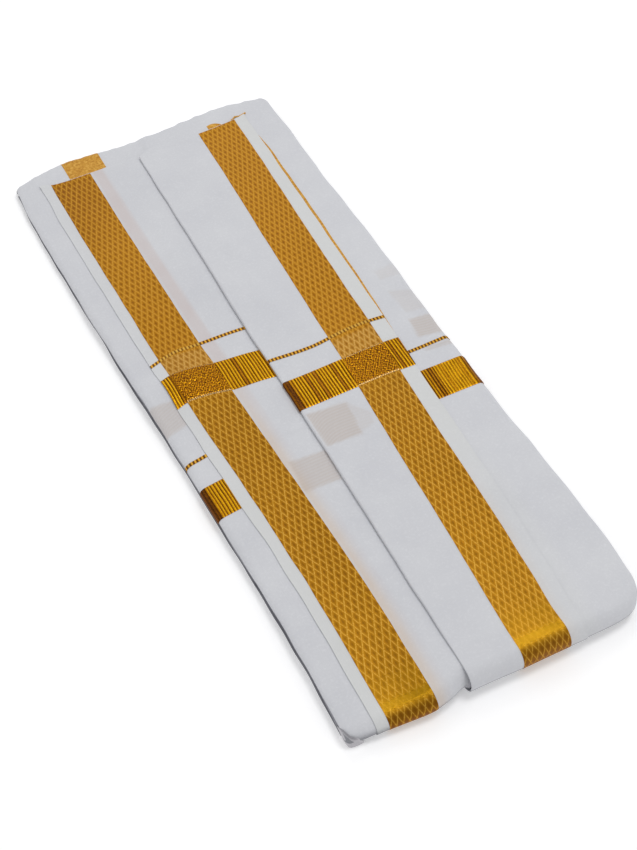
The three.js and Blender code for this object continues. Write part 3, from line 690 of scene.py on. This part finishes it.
def zari_lattice(tree, far, across, along):
    """Zari border: metal-wrapped thread woven as a lattice of long diamonds.

    Light raised threads stand over satin cells that turn bronze at their hearts. Where the border is
    pressed over the near fold its threads lie flat and smoother with a painted highlight, and the cells of
    the front below carry painted shade in brown. far is the share of the duller tone, painted light for
    the far stretch, and the two sizes are one diamond's width and length in metres.
    """
    u, v, place = cloth_axes(tree)
    wobble = node(tree, "TexNoise", {"Vector": place, "Scale": 240.0, "Detail": 2.0})
    shift = node(tree, "MapRange", (wobble, 0.0, 1.0, -0.12, 0.12))
    a = node(tree, "Math", (u, 1.0 / across, shift), operation="MULTIPLY_ADD")
    b = node(tree, "Math", (v, 1.0 / along), operation="MULTIPLY")
    slants = [node(tree, "Math", (a, b), operation=kind) for kind in ("ADD", "SUBTRACT")]
    slants = [node(tree, "Math", (slant, 0.5), operation="PINGPONG") for slant in slants]
    heart = node(tree, "Math", slants, operation="MINIMUM")
    tone = speckled(tree, heart, place, 1200.0, 0.12)
    tones = (BRIGHT_TONES, DULL_TONES, PALE_TONES)
    colour, dull, light = (node(tree, "ValToRGB", (tone,), stops=stops) for stops in tones)
    fields = ("pale", "pressed", "front")
    pale, pressed, front = (node(tree, "Attribute", (), 2, attribute_name=field) for field in fields)
    cells = node(tree, "MapRange", (heart, 0.02, 0.16, 0.08, 0.55))
    # painted shade in the cells of the front below the near fold
    front_shade_in_cells = node(tree, "Math", (front, cells), operation="MULTIPLY")
    # painted highlight: the pressed threads take a smooth bright gold
    flat = node(tree, "Math", (pressed, 0.8), operation="MULTIPLY")
    layers = ((far, dull), (pale, light), (front_shade_in_cells, linear(FRONT_SHADE_TINT)), (flat, linear(PRESSED_HIGHLIGHT_TINT)))
    for share, over in layers:
        colour = node(tree, "Mix", {0: share, 6: colour, 7: over}, 2, data_type="RGBA")
    rough = node(tree, "MapRange", (heart, 0.0, 0.3, 0.46, 0.36))
    rough = node(tree, "Mix", {0: pressed, 2: rough, 3: 0.24}, 0, data_type="FLOAT")
    raised = node(tree, "Math", (1.0, pressed), operation="SUBTRACT")
    raised = node(tree, "Math", (heart, raised), operation="MULTIPLY")
    weave = plain_weave(tree, u, v, BORDER_PITCH, 0.6)
    finish_zari(tree, colour, 0.55, rough, ((raised, 0.5, -0.0003), (weave, 0.3, 0.00006)))


def zari_ribs(tree):
    """Cross band: thick gold yarn laid side by side, bright on its crowns and brown between the ribs."""
    _, v, place = cloth_axes(tree)
    crown, picot = (node(tree, "Attribute", (), 2, attribute_name=field) for field in ("crown", "picot"))
    tone = speckled(tree, crown, place, 1500.0, 0.3)
    colour = node(tree, "ValToRGB", (tone,), stops=RIB_TONES)
    colour = node(tree, "Mix", {0: picot, 6: colour, 7: linear(PICOT_TINT)}, 2, data_type="RGBA")
    wraps = ripple(tree, v, WRAP_PITCH)
    finish_zari(tree, colour, 0.7, 0.34, ((wraps, 0.35, 0.00006), (tone, 0.3, 0.0001)))


def zari_back(tree):
    """Back of the zari border: the float side, duller and paler, without a clear lattice."""
    u, v, place = cloth_axes(tree)
    grain = node(tree, "TexNoise", {"Vector": place, "Scale": 700.0, "Detail": 3.0})
    colour = node(tree, "ValToRGB", (grain,), stops=BACK_TONES)
    weave = plain_weave(tree, u, v, BACK_PITCH, 0.7)
    finish_zari(tree, colour, 0.5, 0.5, ((weave, 0.4, 0.00008), (grain, 0.3, 0.0001)))


def zari_line(tree, dash):
    """Thin woven line: gold beads one dash apart, brown at their ends, over cotton or over the border."""
    u, _, place = cloth_axes(tree)
    beat = node(tree, "Math", (u, 1.0 / dash), operation="MULTIPLY")
    beat = node(tree, "Math", (beat, 0.5), operation="PINGPONG")
    tone = speckled(tree, beat, place, 900.0, 0.1)
    beads, gilt = (node(tree, "ValToRGB", (tone,), stops=stops) for stops in (BEAD_TONES, GILT_TONES))
    over = node(tree, "Attribute", (), 2, attribute_name="over")
    colour = node(tree, "Mix", {0: over, 6: beads, 7: gilt}, 2, data_type="RGBA")
    finish_zari(tree, colour, 0.4, 0.45, ((beat, 0.6, 0.0003),))


# ---- sizes and colours a user may change ----


class AngavastramSizes(bpy.types.PropertyGroup):
    """Sizes of the cloth, its mesh and its woven zari"""

    layer: bpy.props.FloatProperty(
        name="Layer step", description="Height between two visible layers, in millimetres",
        default=0.62, min=0.3, max=1.3)
    cloth: bpy.props.FloatProperty(
        name="Cloth thickness", description="Thickness of a visible sheet, in millimetres",
        default=0.42, min=0.2, max=1.0)
    spacing: bpy.props.FloatProperty(
        name="Point spacing", description="Distance between mesh points on the cotton, in millimetres",
        default=1.5, min=0.8, max=4.0)
    diamond_across: bpy.props.FloatProperty(
        name="Diamond width", description="Width of one diamond of the border",
        default=BORDER * MM / 7.4, unit="LENGTH", subtype="DISTANCE")
    diamond_along: bpy.props.FloatProperty(
        name="Diamond length", description="Length of one diamond of the border",
        default=8.4 * MM, unit="LENGTH", subtype="DISTANCE")
    rib: bpy.props.FloatProperty(
        name="Rib pitch", description="Distance between two ribs of a cross band, in millimetres",
        default=1.8)
    dash: bpy.props.FloatProperty(
        name="Dash pitch", description="Distance between two dashes of a thin woven line",
        default=2.15 * MM, unit="LENGTH", subtype="DISTANCE")


def tint(name, description, colour):
    """A colour property with its default."""
    return bpy.props.FloatVectorProperty(
        name=name, description=description, default=linear(colour), size=4, subtype="COLOR")


class AngavastramTintsAndPaintedLight(bpy.types.PropertyGroup):
    """Colours that tint the cotton by place, painted light and painted shade among them"""

    margin: tint("Margin", "Tint of the dense margin beside a border", "#D9DAD4")
    pink: tint("Border below", "Tint where a hidden border shows through", "#CDBDB8")
    # painted light: the glow is the border's gold reflected on the cotton beside it
    glow: tint("Glow", "Tint beside a border, where its gold shines on the cotton", "#D8BC9A")
    ghost: tint("Band below", "Tint where a hidden cross band shows through", "#BFB1A6")
    # painted shade: the darker foot of the folds and of the near fold's front, and the corner tip's dark
    # slit
    dim: tint("Foot", "Tint of the folds' foot, where shade settles", "#63646B")


def sizes():
    """The sizes on the scene."""
    return bpy.context.scene.angavastram_sizes


def tints_and_painted_light():
    """The tints, painted light and painted shade on the scene."""
    return bpy.context.scene.angavastram_finishes


def material(name, weave, *facts):
    """A material by name, made once: weave(tree, *facts) fills its empty node tree."""
    made = bpy.data.materials.get(name)
    if made is None:
        made = bpy.data.materials.new(name)
        made.use_nodes = True
        made.node_tree.nodes.clear()
        weave(made.node_tree, *facts)
    return made


def top_cotton():
    """The cotton of the panels that show."""
    return material("handloom_cotton", cotton, "#D5D6DA", "#CFD0D5")


def shaded_folds_cotton():
    """The cotton of the hidden folds and the corner tip, painted darker than the top cotton as shade."""
    return material("handloom_cotton_folds", cotton, "#C6C6CB", "#BCBCC3")


def cotton_panel(name, panel, columns, start, stop, node_name, turns, length=420.0):
    """One cotton panel as a closed sheet of the cloth's thickness, with its point fields."""
    facts = (panel, columns, start, stop, sizes().spacing, *turns)
    outer, inner = panel_grid(*facts, 0.0, length), panel_grid(*facts, -sizes().cloth, length)
    return shell(name, outer, inner, cotton_fields(panel, outer), top_cotton(), [node_name])


# ---- pieces ----

WRAP_ANGLES = tuple(range(168, 0, -8))  # degrees round a side fold
NEAR_TURN = 168  # degrees that the cotton turns over the near fold
FAR_TURN = 114  # degrees that it turns over the far edge
UNDER_END = 186.0  # y of the hidden end of the layer past the hems


class ANGAVASTRAM_OT_top_panels(bpy.types.Operator):
    """Lays the two top panels, the right one with its turned back edge"""

    bl_idname = "angavastram.top_panels"
    bl_label = "Top panels"

    def execute(self, context):
        space = sizes().spacing
        right = [
            *back_columns(space), *round_columns("fold", range(170, 0, -10)),
            *flat_columns(edge("fold", 2.0), edge("selvedge_right"), space, 78.0),
        ]
        cotton_panel("cotton_top_right", "right", right, end(HEMS["right"]), nose_start("right"),
                     "top_panel_right", (0, NEAR_TURN))
        left = flat_columns(edge("selvedge_left"), edge("fold", 6.0), space, 64.0)
        cotton_panel("cotton_top_left", "left", left, end(HEMS["left"]), nose_start("left"),
                     "top_panel_left", (0, NEAR_TURN))
        return {"FINISHED"}


class ANGAVASTRAM_OT_under_panels(bpy.types.Operator):
    """Lays the layer that rolls over the bundle's two long sides, and the one that shows past the hems"""

    bl_idname = "angavastram.under_panels"
    bl_label = "Under panels"

    def execute(self, context):
        space = sizes().spacing
        left = [
            *round_columns("left", WRAP_ANGLES),
            *flat_columns(edge("left", SIDE), edge("selvedge_left", UNDERLAP), space, 18.0),
        ]
        cotton_panel("cotton_under_left", "under_left", left, far_brow, nose_start("under_left"),
                     "under_panel_left", (FAR_TURN, NEAR_TURN))
        right = [
            *flat_columns(edge("selvedge_right", -UNDERLAP), edge("right", -SIDE), space, 32.0),
            *round_columns("right", WRAP_ANGLES[::-1]),
        ]
        cotton_panel("cotton_under_right", "under_right", right, far_brow, nose_start("under_right"),
                     "under_panel_right", (FAR_TURN, NEAR_TURN))
        middle = flat_columns(edge("selvedge_left", 4.0), edge("selvedge_right", -4.0), space, 134.0)
        cotton_panel("cotton_far_under", "far_under", middle, far_brow, fixed(UNDER_END),
                     "far_under_panel", (FAR_TURN, 0), 26.0)
        return {"FINISHED"}


PLY = 1.15  # height of one hidden fold at the bundle's edges
LEFT_FOOT = 2.1  # how much further out the lowest fold lies along the left edge
COVER_GAP = 0.3  # how far the hidden layers keep below the two layers above them
EDGE_GAP = 0.8  # how far they keep below the doubled folded edge
FOLD_REACH = 7.5  # how far the left panel covers them below the right one
SIDE_SKIN, NEAR_SKIN, FAR_SKIN = 1.2, 2.6, 1.8  # how far they keep inside a fold's round
FOOT_DIM = (4.0, 1.4)  # heights between which painted shade grows on their foot
TABLE_DIM = (1.3, 1.1)  # heights between which that painted shade grows darker where the table shades it
TABLE_DIM_END = -60.0  # x up to which the table's painted shade reaches


def ply_setback(z, along, seed):
    """How far the hidden folds stand back at a height: a round lip per ply, each at its own depth."""
    number = np.floor(z / PLY)
    share = z / PLY - number
    lip = 0.55 * (1.0 - np.sqrt(np.clip(1.0 - (2.0 * share - 1.0) ** 2, 0.0, 1.0)))
    own = 0.6 * np.sin(number * 2.4 + seed) + waves(number * 31.0, along, seed, 60.0, 0.4)
    return 1.6 + own + lip


def round_share(z, middle, half):
    """Half width of a fold's inside at a height, as a share of its reach."""
    return np.sqrt(1.0 - np.clip((z - middle) / half, -1.0, 1.0) ** 2)


def core_point(a, b, level):
    """Points of the hidden layers' outside: a across, b along and level up, each from 0 to 1.

    The height is level times the lowest cover above it. Below the side folds and at the far end the
    outside steps back ply by ply, and within a fold it keeps inside that fold's round.
    """
    a, b, level = np.broadcast_arrays(a, b, level)
    x = (1.0 - a) * -80.0 + a * 82.0
    for _ in range(3):
        near_x = x + np.where(a <= 0.0, -SIDE, 0.0) + np.where(a >= 1.0, SIDE, 0.0)
        right_side = x >= line("fold", -208.0)
        near = np.where(right_side, curve(NEAR_RIGHT, near_x), curve(NEAR_LEFT, near_x)) + NOSE
        y = (1.0 - b) * near + b * (far_end(near_x) - BROW)
        x = (1.0 - a) * (line("left", y) + SIDE) + a * (line("right", y) - SIDE)
    fold = line("fold", y)
    doubled = (x > fold - 1.0) & (x < fold + TURN_BACK + 1.0)
    edge_depth = np.where(doubled, fold_size("edge", y) + EDGE_GAP, 0.0)
    cover = np.where(x < fold + FOLD_REACH, left_height(x, y), np.inf)
    cover = np.minimum(cover, np.where(x > fold - 1.0, right_height(x, y) - edge_depth, np.inf))
    past = np.maximum(0.0, line("selvedge_left", y) - x) * UNDER_FALL_LEFT
    past = past + np.maximum(0.0, x - line("selvedge_right", y)) * UNDER_FALL_RIGHT
    top = cover - past - 2.0 * sizes().layer - COVER_GAP
    z = top * level
    for name, side, share in (("left", -1, a <= 0.0), ("right", 1, a >= 1.0)):
        half = fold_size(name, y) / 2.0
        inside = round_share(z, top + 0.6 - half, np.maximum(half - 1.0, 0.3))
        within = SIDE - (SIDE - SIDE_SKIN) * inside
        foot = LEFT_FOOT * ((z < PLY) & (side < 0))
        setback = np.maximum(0.2, ply_setback(z, y, 3 + side) - foot)
        inset = np.where(z < top - 2.0 * half + 0.8, setback, within)
        x = x + np.where(share, side * (SIDE - inset), 0.0)
    inner = (a > 0.0) & (a < 1.0)
    round_inside = round_share(z, top / 2.0, top / 2.0)
    far_round = (BROW - FAR_SKIN) * round_inside
    far_reach = np.where(z < 0.3 * top, BROW - ply_setback(z, x, 8), far_round * inner)
    near_reach = (NOSE - NEAR_SKIN) * round_inside
    y = y - np.where((b <= 0.0) & inner, near_reach, 0.0) + np.where(b >= 1.0, far_reach, 0.0)
    return np.stack([x, y, z], -1)


def core_mesh():
    """The hidden layers as six faces of a lattice box, merged where they meet."""
    across, along, up = np.linspace(0, 1, 61), np.linspace(0, 1, 161), np.linspace(0, 1, 73)
    faces_of = (
        (core_point(across[:, None], along, 1.0), 1), (core_point(across[:, None], along, 0.0), 0),
        (core_point(across[:, None], 0.0, up), 1), (core_point(across[:, None], 1.0, up), 0),
        (core_point(1.0, along[:, None], up), 1), (core_point(0.0, along[:, None], up), 0),
    )
    points, faces, base = [], [], 0
    for grid, outward in faces_of:
        index = np.arange(grid.shape[0] * grid.shape[1]).reshape(grid.shape[:2]) + base
        quads = grid_faces(index)
        faces.append(quads if outward else quads[:, ::-1])
        points.append(grid.reshape(-1, 3))
        base += index.size
    points, faces = np.concatenate(points), np.concatenate(faces)
    _, first, merged = np.unique(np.round(points, 4), axis=0, return_index=True, return_inverse=True)
    return points[first], merged.ravel()[faces]


class ANGAVASTRAM_OT_hidden_layers(bpy.types.Operator):
    """Stacks the hidden layers, with their folds showing as plies at the sides and the far end"""

    bl_idname = "angavastram.hidden_layers"
    bl_label = "Hidden layers"

    def execute(self, context):
        points, faces = core_mesh()
        # painted shade: darker at the foot of the left side, where the table shades the hidden layers
        shade = 0.5 * painted_foot_shade(points, *TABLE_DIM) * (points[:, 0] < TABLE_DIM_END)
        fields = tint_fields(points, dim=0.7 * painted_foot_shade(points, *FOOT_DIM) + shade)
        made = write_mesh("cotton_layers", points, faces, points[:, :2], fields, shaded_folds_cotton(), 60.0)
        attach(made, "root")
        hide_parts("folded_core")
        return {"FINISHED"}


def strip(name, panel, columns, start, stop, nodes, paint, slot, lift, fields=None, **extent):
    """A thin woven strip on a panel: lift is how far its back and its face stand above the cloth."""
    spacing = extent.pop("spacing", 1.2)
    inner, outer = (
        panel_grid(panel, columns, start, stop, spacing, out=height, **extent) for height in lift)
    return shell(name, outer, inner, fields(outer) if fields else {}, paint, nodes)


def border_fields(table, side):
    """Point fields of a border: paler between its thin line and its band, with painted shade in brown at the
    near fold.

    Its pressed threads carry a painted highlight in a Gaussian hump at the fold's start, a low wide one
    before it and a faint rise over the last 90 mm.
    """

    def fields(grid):
        past = grid[..., 1] - curve(table, grid[..., 0])
        over = nose_start(side)(grid[..., 0]) - grid[..., 1]
        upper = smooth(7.0, 10.0, grid[..., 2])
        pressed = np.exp(-(((over + 0.4) / 3.0) ** 2)) + 0.3 * np.exp(-(((over + 9.0) / 8.0) ** 2))
        pressed = pressed + 0.12 * smooth(-90.0, -25.0, over)
        return {
            "pale": 0.5 * smooth(24.5, 23.5, past) * smooth(9.0, 10.0, past),
            "pressed": np.minimum(pressed, 1.0) * upper,
            # painted shade on the front below the near fold
            "front": smooth(2.6, 5.0, over) + (1.0 - upper) * smooth(2.6, 0.0, over),
        }

    return fields


class ANGAVASTRAM_OT_zari_borders(bpy.types.Operator):
    """Weaves the gold border along each selvedge, each in two stretches"""

    bl_idname = "angavastram.zari_borders"
    bl_label = "Zari borders"

    def execute(self, context):
        diamond = (sizes().diamond_across, sizes().diamond_along)
        for side, hem in HEMS.items():
            band_line = BANDS[side]
            columns = flat_columns(*map(edge, BORDERS[side]), 1.2, BORDER)
            # painted light: the far stretch takes mostly the duller tones and the near one the bright ones
            for part, start, stop, near_turn, dull in (
                ("far", end(hem, -0.4), end(band_line, BAND / 2 - BAND_LAP), 0, 0.75),
                ("near", end(band_line, BAND_LAP - BAND / 2), nose_start(side), 166, 0.15),
            ):
                paint = material(f"zari_lattice_{part}", zari_lattice, dull, *diamond)
                strip(f"zari_{side}_{part}", side, columns, start, stop, [f"{side}_border_{part}"], paint,
                      "zari_border", (0.02, 0.14), border_fields(band_line, side), near_turn=near_turn,
                      length=200.0)
        return {"FINISHED"}


RIBS = 60  # ribs that get a height of their own
BAND_LAP = 1.0  # how far a border runs on below its band
BAND_LIFT = 0.2  # how far a band stands above the cloth between its ribs
# Each band's seed, and the angles of its columns and of its thin line's round their panel's fold.
WOVEN = {
    "left": (21, (), ()),
    "right": (22, range(150, 0, -6), range(120, 0, -8)),
    "under_left": (23, range(140, 0, -4), range(120, 0, -6)),
    "under_right": (24, range(4, 120, 4), range(6, 100, 6)),
}
LINE_HALF = 1.05  # half width of a thin woven line


def over_border(panel, grid):
    """1 where a panel's border lies below and 0 beside it, soft over 1.2 mm."""
    if panel not in BORDERS:
        return np.zeros(grid.shape[:2])
    first, last = (line(name, grid[..., 1]) for name in BORDERS[panel])
    return smooth(-0.6, 0.6, grid[..., 0] - first) * smooth(0.6, -0.6, grid[..., 0] - last)


def line_fields(panel):
    """Point field of a thin line: where it crosses its panel's border."""
    return lambda grid: {"over": over_border(panel, grid)}


def band_relief(u, v, basket, seed):
    """Height and tone of a cross band: ribs across it, and a crumpled twill where it covers the border.

    A rib stands as the root of a half sine one pitch wide, on a slightly stretched u, and its tone is
    the half sine itself, so the gaps look wide and dark. basket is the share of the twill.
    """
    dice = np.random.default_rng(seed)
    bent = (u + 0.12 * np.sin(u * 0.9 + seed) + waves(u, v, seed, 26.0, 0.1)) / sizes().rib
    number = np.floor(bent).astype(int) % RIBS
    own = np.where(dice.uniform(size=RIBS) < 0.16, 0.5, dice.uniform(0.86, 1.0, RIBS))[number]
    half_sine = np.abs(np.sin(np.pi * bent))
    twist = waves(u, v, seed + 1, 4.0, 1.3)
    weft = np.sin(math.tau * (u / 1.5 + v / 2.0) + twist)
    warp = np.sin(math.tau * (u / 2.6 - v / 1.6) + 1.2 * twist)
    twill = np.clip(0.5 + 0.24 * weft + 0.2 * warp + waves(u, v, seed + 2, 1.6, 0.14), 0.0, 1.0)
    height = np.sqrt(half_sine) * own * (1.0 - basket) + twill * basket
    tone = (half_sine * own) ** 0.8 * (1.0 - basket) + 0.92 * twill * basket
    return height, tone


# Painted shade on a panel's band where it turns round a fold, and darker near the left end of the
# right hidden band: strength against the arc length u from its left end.
BAND_DARKENING = {
    "left": lambda u: 0.0,
    "right": lambda u: smooth(7.5, 4.5, u),
    "under_left": lambda u: smooth(9.0, 6.5, u),
    "under_right": lambda u: (0.25 * smooth(9.5, 7.0, u) + 0.6 * np.exp(-(((u - 6.5) / 1.8) ** 2))
                              + 0.9 * smooth(27.0, 29.0, u)),
}


def band(panel, seed, angles):
    """A panel's cross band: a grid moved out by its relief, with fields for its crowns and edge threads."""
    columns = crossing(panel, 0.3, angles)
    start, stop = end(BANDS[panel], BAND / 2), end(BANDS[panel], -BAND / 2)

    def grid(out):
        return panel_grid(panel, columns, start, stop, 0.45, out=out, length=BAND)

    flat = grid(BAND_LIFT)
    u, v = arc_lengths(flat)
    basket = over_border(panel, flat)
    height, tone = band_relief(u, v, basket, seed)
    left_over = v[-1:] - v
    rim = smooth(0.0, 0.8, v) * smooth(0.0, 0.8, left_over)
    threads = 0.5 + 0.5 * np.sin(u * 5.2)
    picot = basket * (1.0 - smooth(0.5, 1.0, v) * smooth(0.5, 1.0, left_over)) * threads
    outer, inner = grid(BAND_LIFT + (0.34 * height + 0.2 * basket) * rim), grid(0.04)
    if panel == "under_right":  # its ribs look evenly bright in the middle
        calm = 0.55 * smooth(9.0, 11.5, u) * smooth(27.5, 25.0, u)
        tone = tone * (1.0 - calm) + 0.85 * calm
    # painted shade where the band turns round a fold, and the darker left end of the right hidden band
    fields = {"crown": tone * (1.0 - 0.55 * BAND_DARKENING[panel](u)), "picot": picot}
    paint = material("zari_ribs", zari_ribs)
    shell(f"band_{panel}", outer, inner, fields, paint, [f"{panel}_band"])


class ANGAVASTRAM_OT_cross_bands(bpy.types.Operator):
    """Weaves the ribbed cross band on each of the four panels"""

    bl_idname = "angavastram.cross_bands"
    bl_label = "Cross bands"

    def execute(self, context):
        for panel, (seed, angles, _) in WOVEN.items():
            band(panel, seed, angles)
        return {"FINISHED"}


class ANGAVASTRAM_OT_woven_lines(bpy.types.Operator):
    """Weaves the thin dashed line that runs beside each cross band"""

    bl_idname = "angavastram.woven_lines"
    bl_label = "Woven lines"

    def execute(self, context):
        paint = material("zari_dashes", zari_line, sizes().dash)
        for panel, (_, _, angles) in WOVEN.items():
            start, stop = end(THIN_LINES[panel], LINE_HALF), end(THIN_LINES[panel], -LINE_HALF)
            columns = crossing(panel, 0.8, angles)
            strip(f"line_{panel}", panel, columns, start, stop, [], paint, "zari_band", (0.05, 0.24),
                  line_fields(panel), spacing=0.3, length=2.0 * LINE_HALF)
        return {"FINISHED"}


# Width of the gold past the right selvedge, and its two ends.
SLIVER = ((-12, 20, 60, 120, 165, 182), (0.2, 1.3, 1.7, 2.1, 1.4, 0.1))
SLIVER_ENDS = (180.0, -12.0)
# How far the hidden border shows past the right hem, and the two sides of each hidden border.
BACK_RIGHT = ((40, 43, 47, 51, 56, 60), (4.6, 5.2, 4.2, 1.0, 0.6, 0.5))
BACK_SIDES = {"left": (-55.5, -31.2), "right": (40.5, 60.0)}
HEM_LAP = 3.0  # how far a hidden border runs on below the hem
# A loose gold yarn past the right hem, its two sides and half its width.
CURL = ((58, 61, 64, 69), (200.6, 202.8, 202.4, 203.8))
CURL_SIDES = (57.0, 69.0)
CURL_HALF = 0.45


class ANGAVASTRAM_OT_hidden_border(bpy.types.Operator):
    """Lays the back of the hidden layer's border, where it shows past the hems and the right selvedge"""

    bl_idname = "angavastram.hidden_border"
    bl_label = "Hidden border"

    def execute(self, context):
        looks = (material("zari_back", zari_back), "zari_reverse")
        strip("zari_back_left", "far_under", straight_columns(*BACK_SIDES["left"], 1.2), far_brow,
              end(HEMS["left"], -HEM_LAP), ["reverse_border_left"], *looks, (0.02, 0.16), far_turn=96,
              length=16.0)
        strip("zari_back_right", "far_under", straight_columns(*BACK_SIDES["right"], 0.8),
              lambda x: curve(HEMS["right"], x) + curve(BACK_RIGHT, x), end(HEMS["right"], -HEM_LAP),
              ["reverse_border_right"], *looks, (0.02, 0.16), length=8.0)
        strip("zari_loose_yarn", "far_under", straight_columns(*CURL_SIDES, 0.6), end(CURL, CURL_HALF),
              end(CURL, -CURL_HALF), [], *looks, (0.3, 1.0), spacing=0.3, length=2.0 * CURL_HALF)
        sliver = flat_columns(edge("selvedge_right", -1.5),
                              lambda y: line("selvedge_right", y) + curve(SLIVER, y), 0.5, 3.0)
        strip("zari_sliver", "under_right", sliver, *map(fixed, SLIVER_ENDS), [], *looks, (0.03, 0.16),
              spacing=2.0, length=192.0)
        return {"FINISHED"}


# The tip's brim and its foot on the floor: x, y and z at five places along it.
TIP_PLACES = (0.0, 0.35, 0.55, 0.75, 1.0)
TIP_BRIM = (
    (-80.8, -79.8, -78.0, -75.3, -72.4),
    (-201.4, -206.9, -210.6, -212.2, -213.0),
    (6.0, 9.2, 8.5, 7.1, 2.8),
)
TIP_FOOT = (
    (-79.5, -80.0, -79.2, -75.6, -72.0),
    (-200.8, -207.8, -211.6, -212.6, -212.6),
    (0.3, 0.2, 0.2, 0.2, 0.3),
)
TIP_HEART = (-72.0, -203.0, 0.0)  # a point inside the tip's round


class ANGAVASTRAM_OT_corner_tip(bpy.types.Operator):
    """Sets the doubled tip of an inner layer that looks out at the near left corner"""

    bl_idname = "angavastram.corner_tip"
    bl_label = "Corner tip"

    def execute(self, context):
        along = np.linspace(0.0, 1.0, 41)[:, None]
        down = np.linspace(0.0, 1.0, 15)[None, :]
        brim, foot = (
            np.stack([curve((TIP_PLACES, row), along) for row in rows], -1) for rows in (TIP_BRIM, TIP_FOOT))
        outer = brim * (1.0 - down[..., None]) + foot * down[..., None]
        outwards = outer - TIP_HEART
        outwards[..., 2] = 0.0
        outwards /= np.linalg.norm(outwards, axis=2, keepdims=True)
        outer = outer + outwards * (0.5 * np.sin(np.pi * down) * np.sin(np.pi * along))[..., None]
        inner = outer - outwards * sizes().cloth
        # painted shadow in the slit along the tip's brim, where it stands off the layer beside it
        painted_slit_shadow = smooth(0.2, 0.08, down) * smooth(0.85, 0.6, along)
        fields = tint_fields(outer, pink=np.full(painted_slit_shadow.shape, 0.3), dim=0.75 * painted_slit_shadow)
        made = shell("cotton_corner_tip", outer, inner, fields, shaded_folds_cotton(),
                     ["corner_flap"])
        return {"FINISHED"}


class ANGAVASTRAM_OT_declare_sheets(bpy.types.Operator):
    """Stands in the list of operators and does nothing"""

    bl_idname = "angavastram.declare_sheets"
    bl_label = "Flat sizes"

    def execute(self, context):
        return {"FINISHED"}


# ---- the stage ----

FLOOR_REACH = 20.0  # metres from the middle of the floor to each of its sides
WORLD_LIGHT = 0.44  # strength of the even light from all round
SENSOR_WIDTH = 36.0  # millimetres, as is the focal length
FOCAL_LENGTH = 55.06
CAMERA_PLACE = (-0.2057, -0.4206, 0.5728)
CAMERA_LOOK = (0.2807, 0.5324, -0.7986)
LAMPS = (  # name, place, aim, width, watts
    ("overhead", (0.46, -0.02, 1.60), (0.0, 0.0, 0.0), 0.5, 7.6),
    ("far_fill", (0.55, 1.75, 1.45), (0.0, 0.1, 0.0), 1.2, 8.0),
    ("left_fill", (-1.5, 0.5, 1.2), (0.0, 0.0, 0.0), 1.8, 7.0),
    ("right_fill", (1.2, -1.2, 1.0), (0.0, 0.0, 0.0), 1.6, 4.5),
)


def studio_paper(tree):
    """Matt white paper that glows a little, so that the floor stays white to its far side."""
    shader = node(tree, "BsdfPrincipled", {
        "Base Color": linear("#F4F4F5"), "Roughness": 1.0, "Specular IOR Level": 0.0,
        "Emission Color": linear("#FFFFFF"), "Emission Strength": 0.24,
    })
    node(tree, "OutputMaterial", {"Surface": shader})


class ANGAVASTRAM_OT_stage(bpy.types.Operator):
    """Sets the pale floor, the soft studio light and the camera"""

    bl_idname = "angavastram.stage"
    bl_label = "Stage"

    def execute(self, context):
        scene = context.scene
        paper = bpy.data.meshes.new("floor")
        corners = ((-1, -1), (1, -1), (1, 1), (-1, 1))
        paper.from_pydata([(a * FLOOR_REACH, b * FLOOR_REACH, 0) for a, b in corners], [], [(0, 1, 2, 3)])
        paper.materials.append(material("studio_paper", studio_paper))
        floor = add_object("floor", paper)
        for name, place, aim, width, watts in LAMPS:
            lamp = bpy.data.lights.new(name, "AREA")
            lamp.size = width
            lamp.energy = watts
            add_object(name, lamp, place, Vector(aim) - Vector(place))
        world = bpy.data.worlds.new("studio")
        world.use_nodes = True
        world.node_tree.nodes["Background"].inputs["Color"].default_value = (1.0, 1.0, 1.0, 1.0)
        world.node_tree.nodes["Background"].inputs["Strength"].default_value = WORLD_LIGHT
        scene.world = world
        scene.view_settings.view_transform = "Standard"
        view = bpy.data.cameras.new("camera")
        view.sensor_width = SENSOR_WIDTH
        view.lens = FOCAL_LENGTH
        scene.camera = add_object("camera", view, CAMERA_PLACE, CAMERA_LOOK)
        return {"FINISHED"}


OPERATORS = (
    ANGAVASTRAM_OT_stage,
    ANGAVASTRAM_OT_hidden_layers,
    ANGAVASTRAM_OT_under_panels,
    ANGAVASTRAM_OT_top_panels,
    ANGAVASTRAM_OT_zari_borders,
    ANGAVASTRAM_OT_cross_bands,
    ANGAVASTRAM_OT_woven_lines,
    ANGAVASTRAM_OT_hidden_border,
    ANGAVASTRAM_OT_corner_tip,
    ANGAVASTRAM_OT_declare_sheets,
)


class ANGAVASTRAM_PT_panel(bpy.types.Panel):
    """Lists the sizes, the colours and the operators"""

    bl_idname = "ANGAVASTRAM_PT_panel"
    bl_label = "Angavastram"
    bl_space_type = "VIEW_3D"
    bl_region_type = "UI"
    bl_category = "Angavastram"

    def draw(self, context):
        for group in (context.scene.angavastram_sizes, context.scene.angavastram_finishes):
            for name in group.__annotations__:
                self.layout.prop(group, name)
        for operator in OPERATORS:
            self.layout.operator(operator.bl_idname)


CLASSES = (AngavastramSizes, AngavastramTintsAndPaintedLight, *OPERATORS, ANGAVASTRAM_PT_panel)


def register():
    """Registers the classes and puts the two groups on the scene."""
    for kind in CLASSES:
        bpy.utils.register_class(kind)
    bpy.types.Scene.angavastram_sizes = bpy.props.PointerProperty(type=AngavastramSizes)
    bpy.types.Scene.angavastram_finishes = bpy.props.PointerProperty(type=AngavastramTintsAndPaintedLight)


def unregister():
    """Takes the two groups off the scene and unregisters the classes."""
    del bpy.types.Scene.angavastram_finishes
    del bpy.types.Scene.angavastram_sizes
    for kind in reversed(CLASSES):
        bpy.utils.unregister_class(kind)


def main():
    """Builds the pieces and the stage."""
    register()
    for operator in OPERATORS:
        group, name = operator.bl_idname.split(".")
        getattr(getattr(bpy.ops, group), name)()


if __name__ == "__main__":
    main()
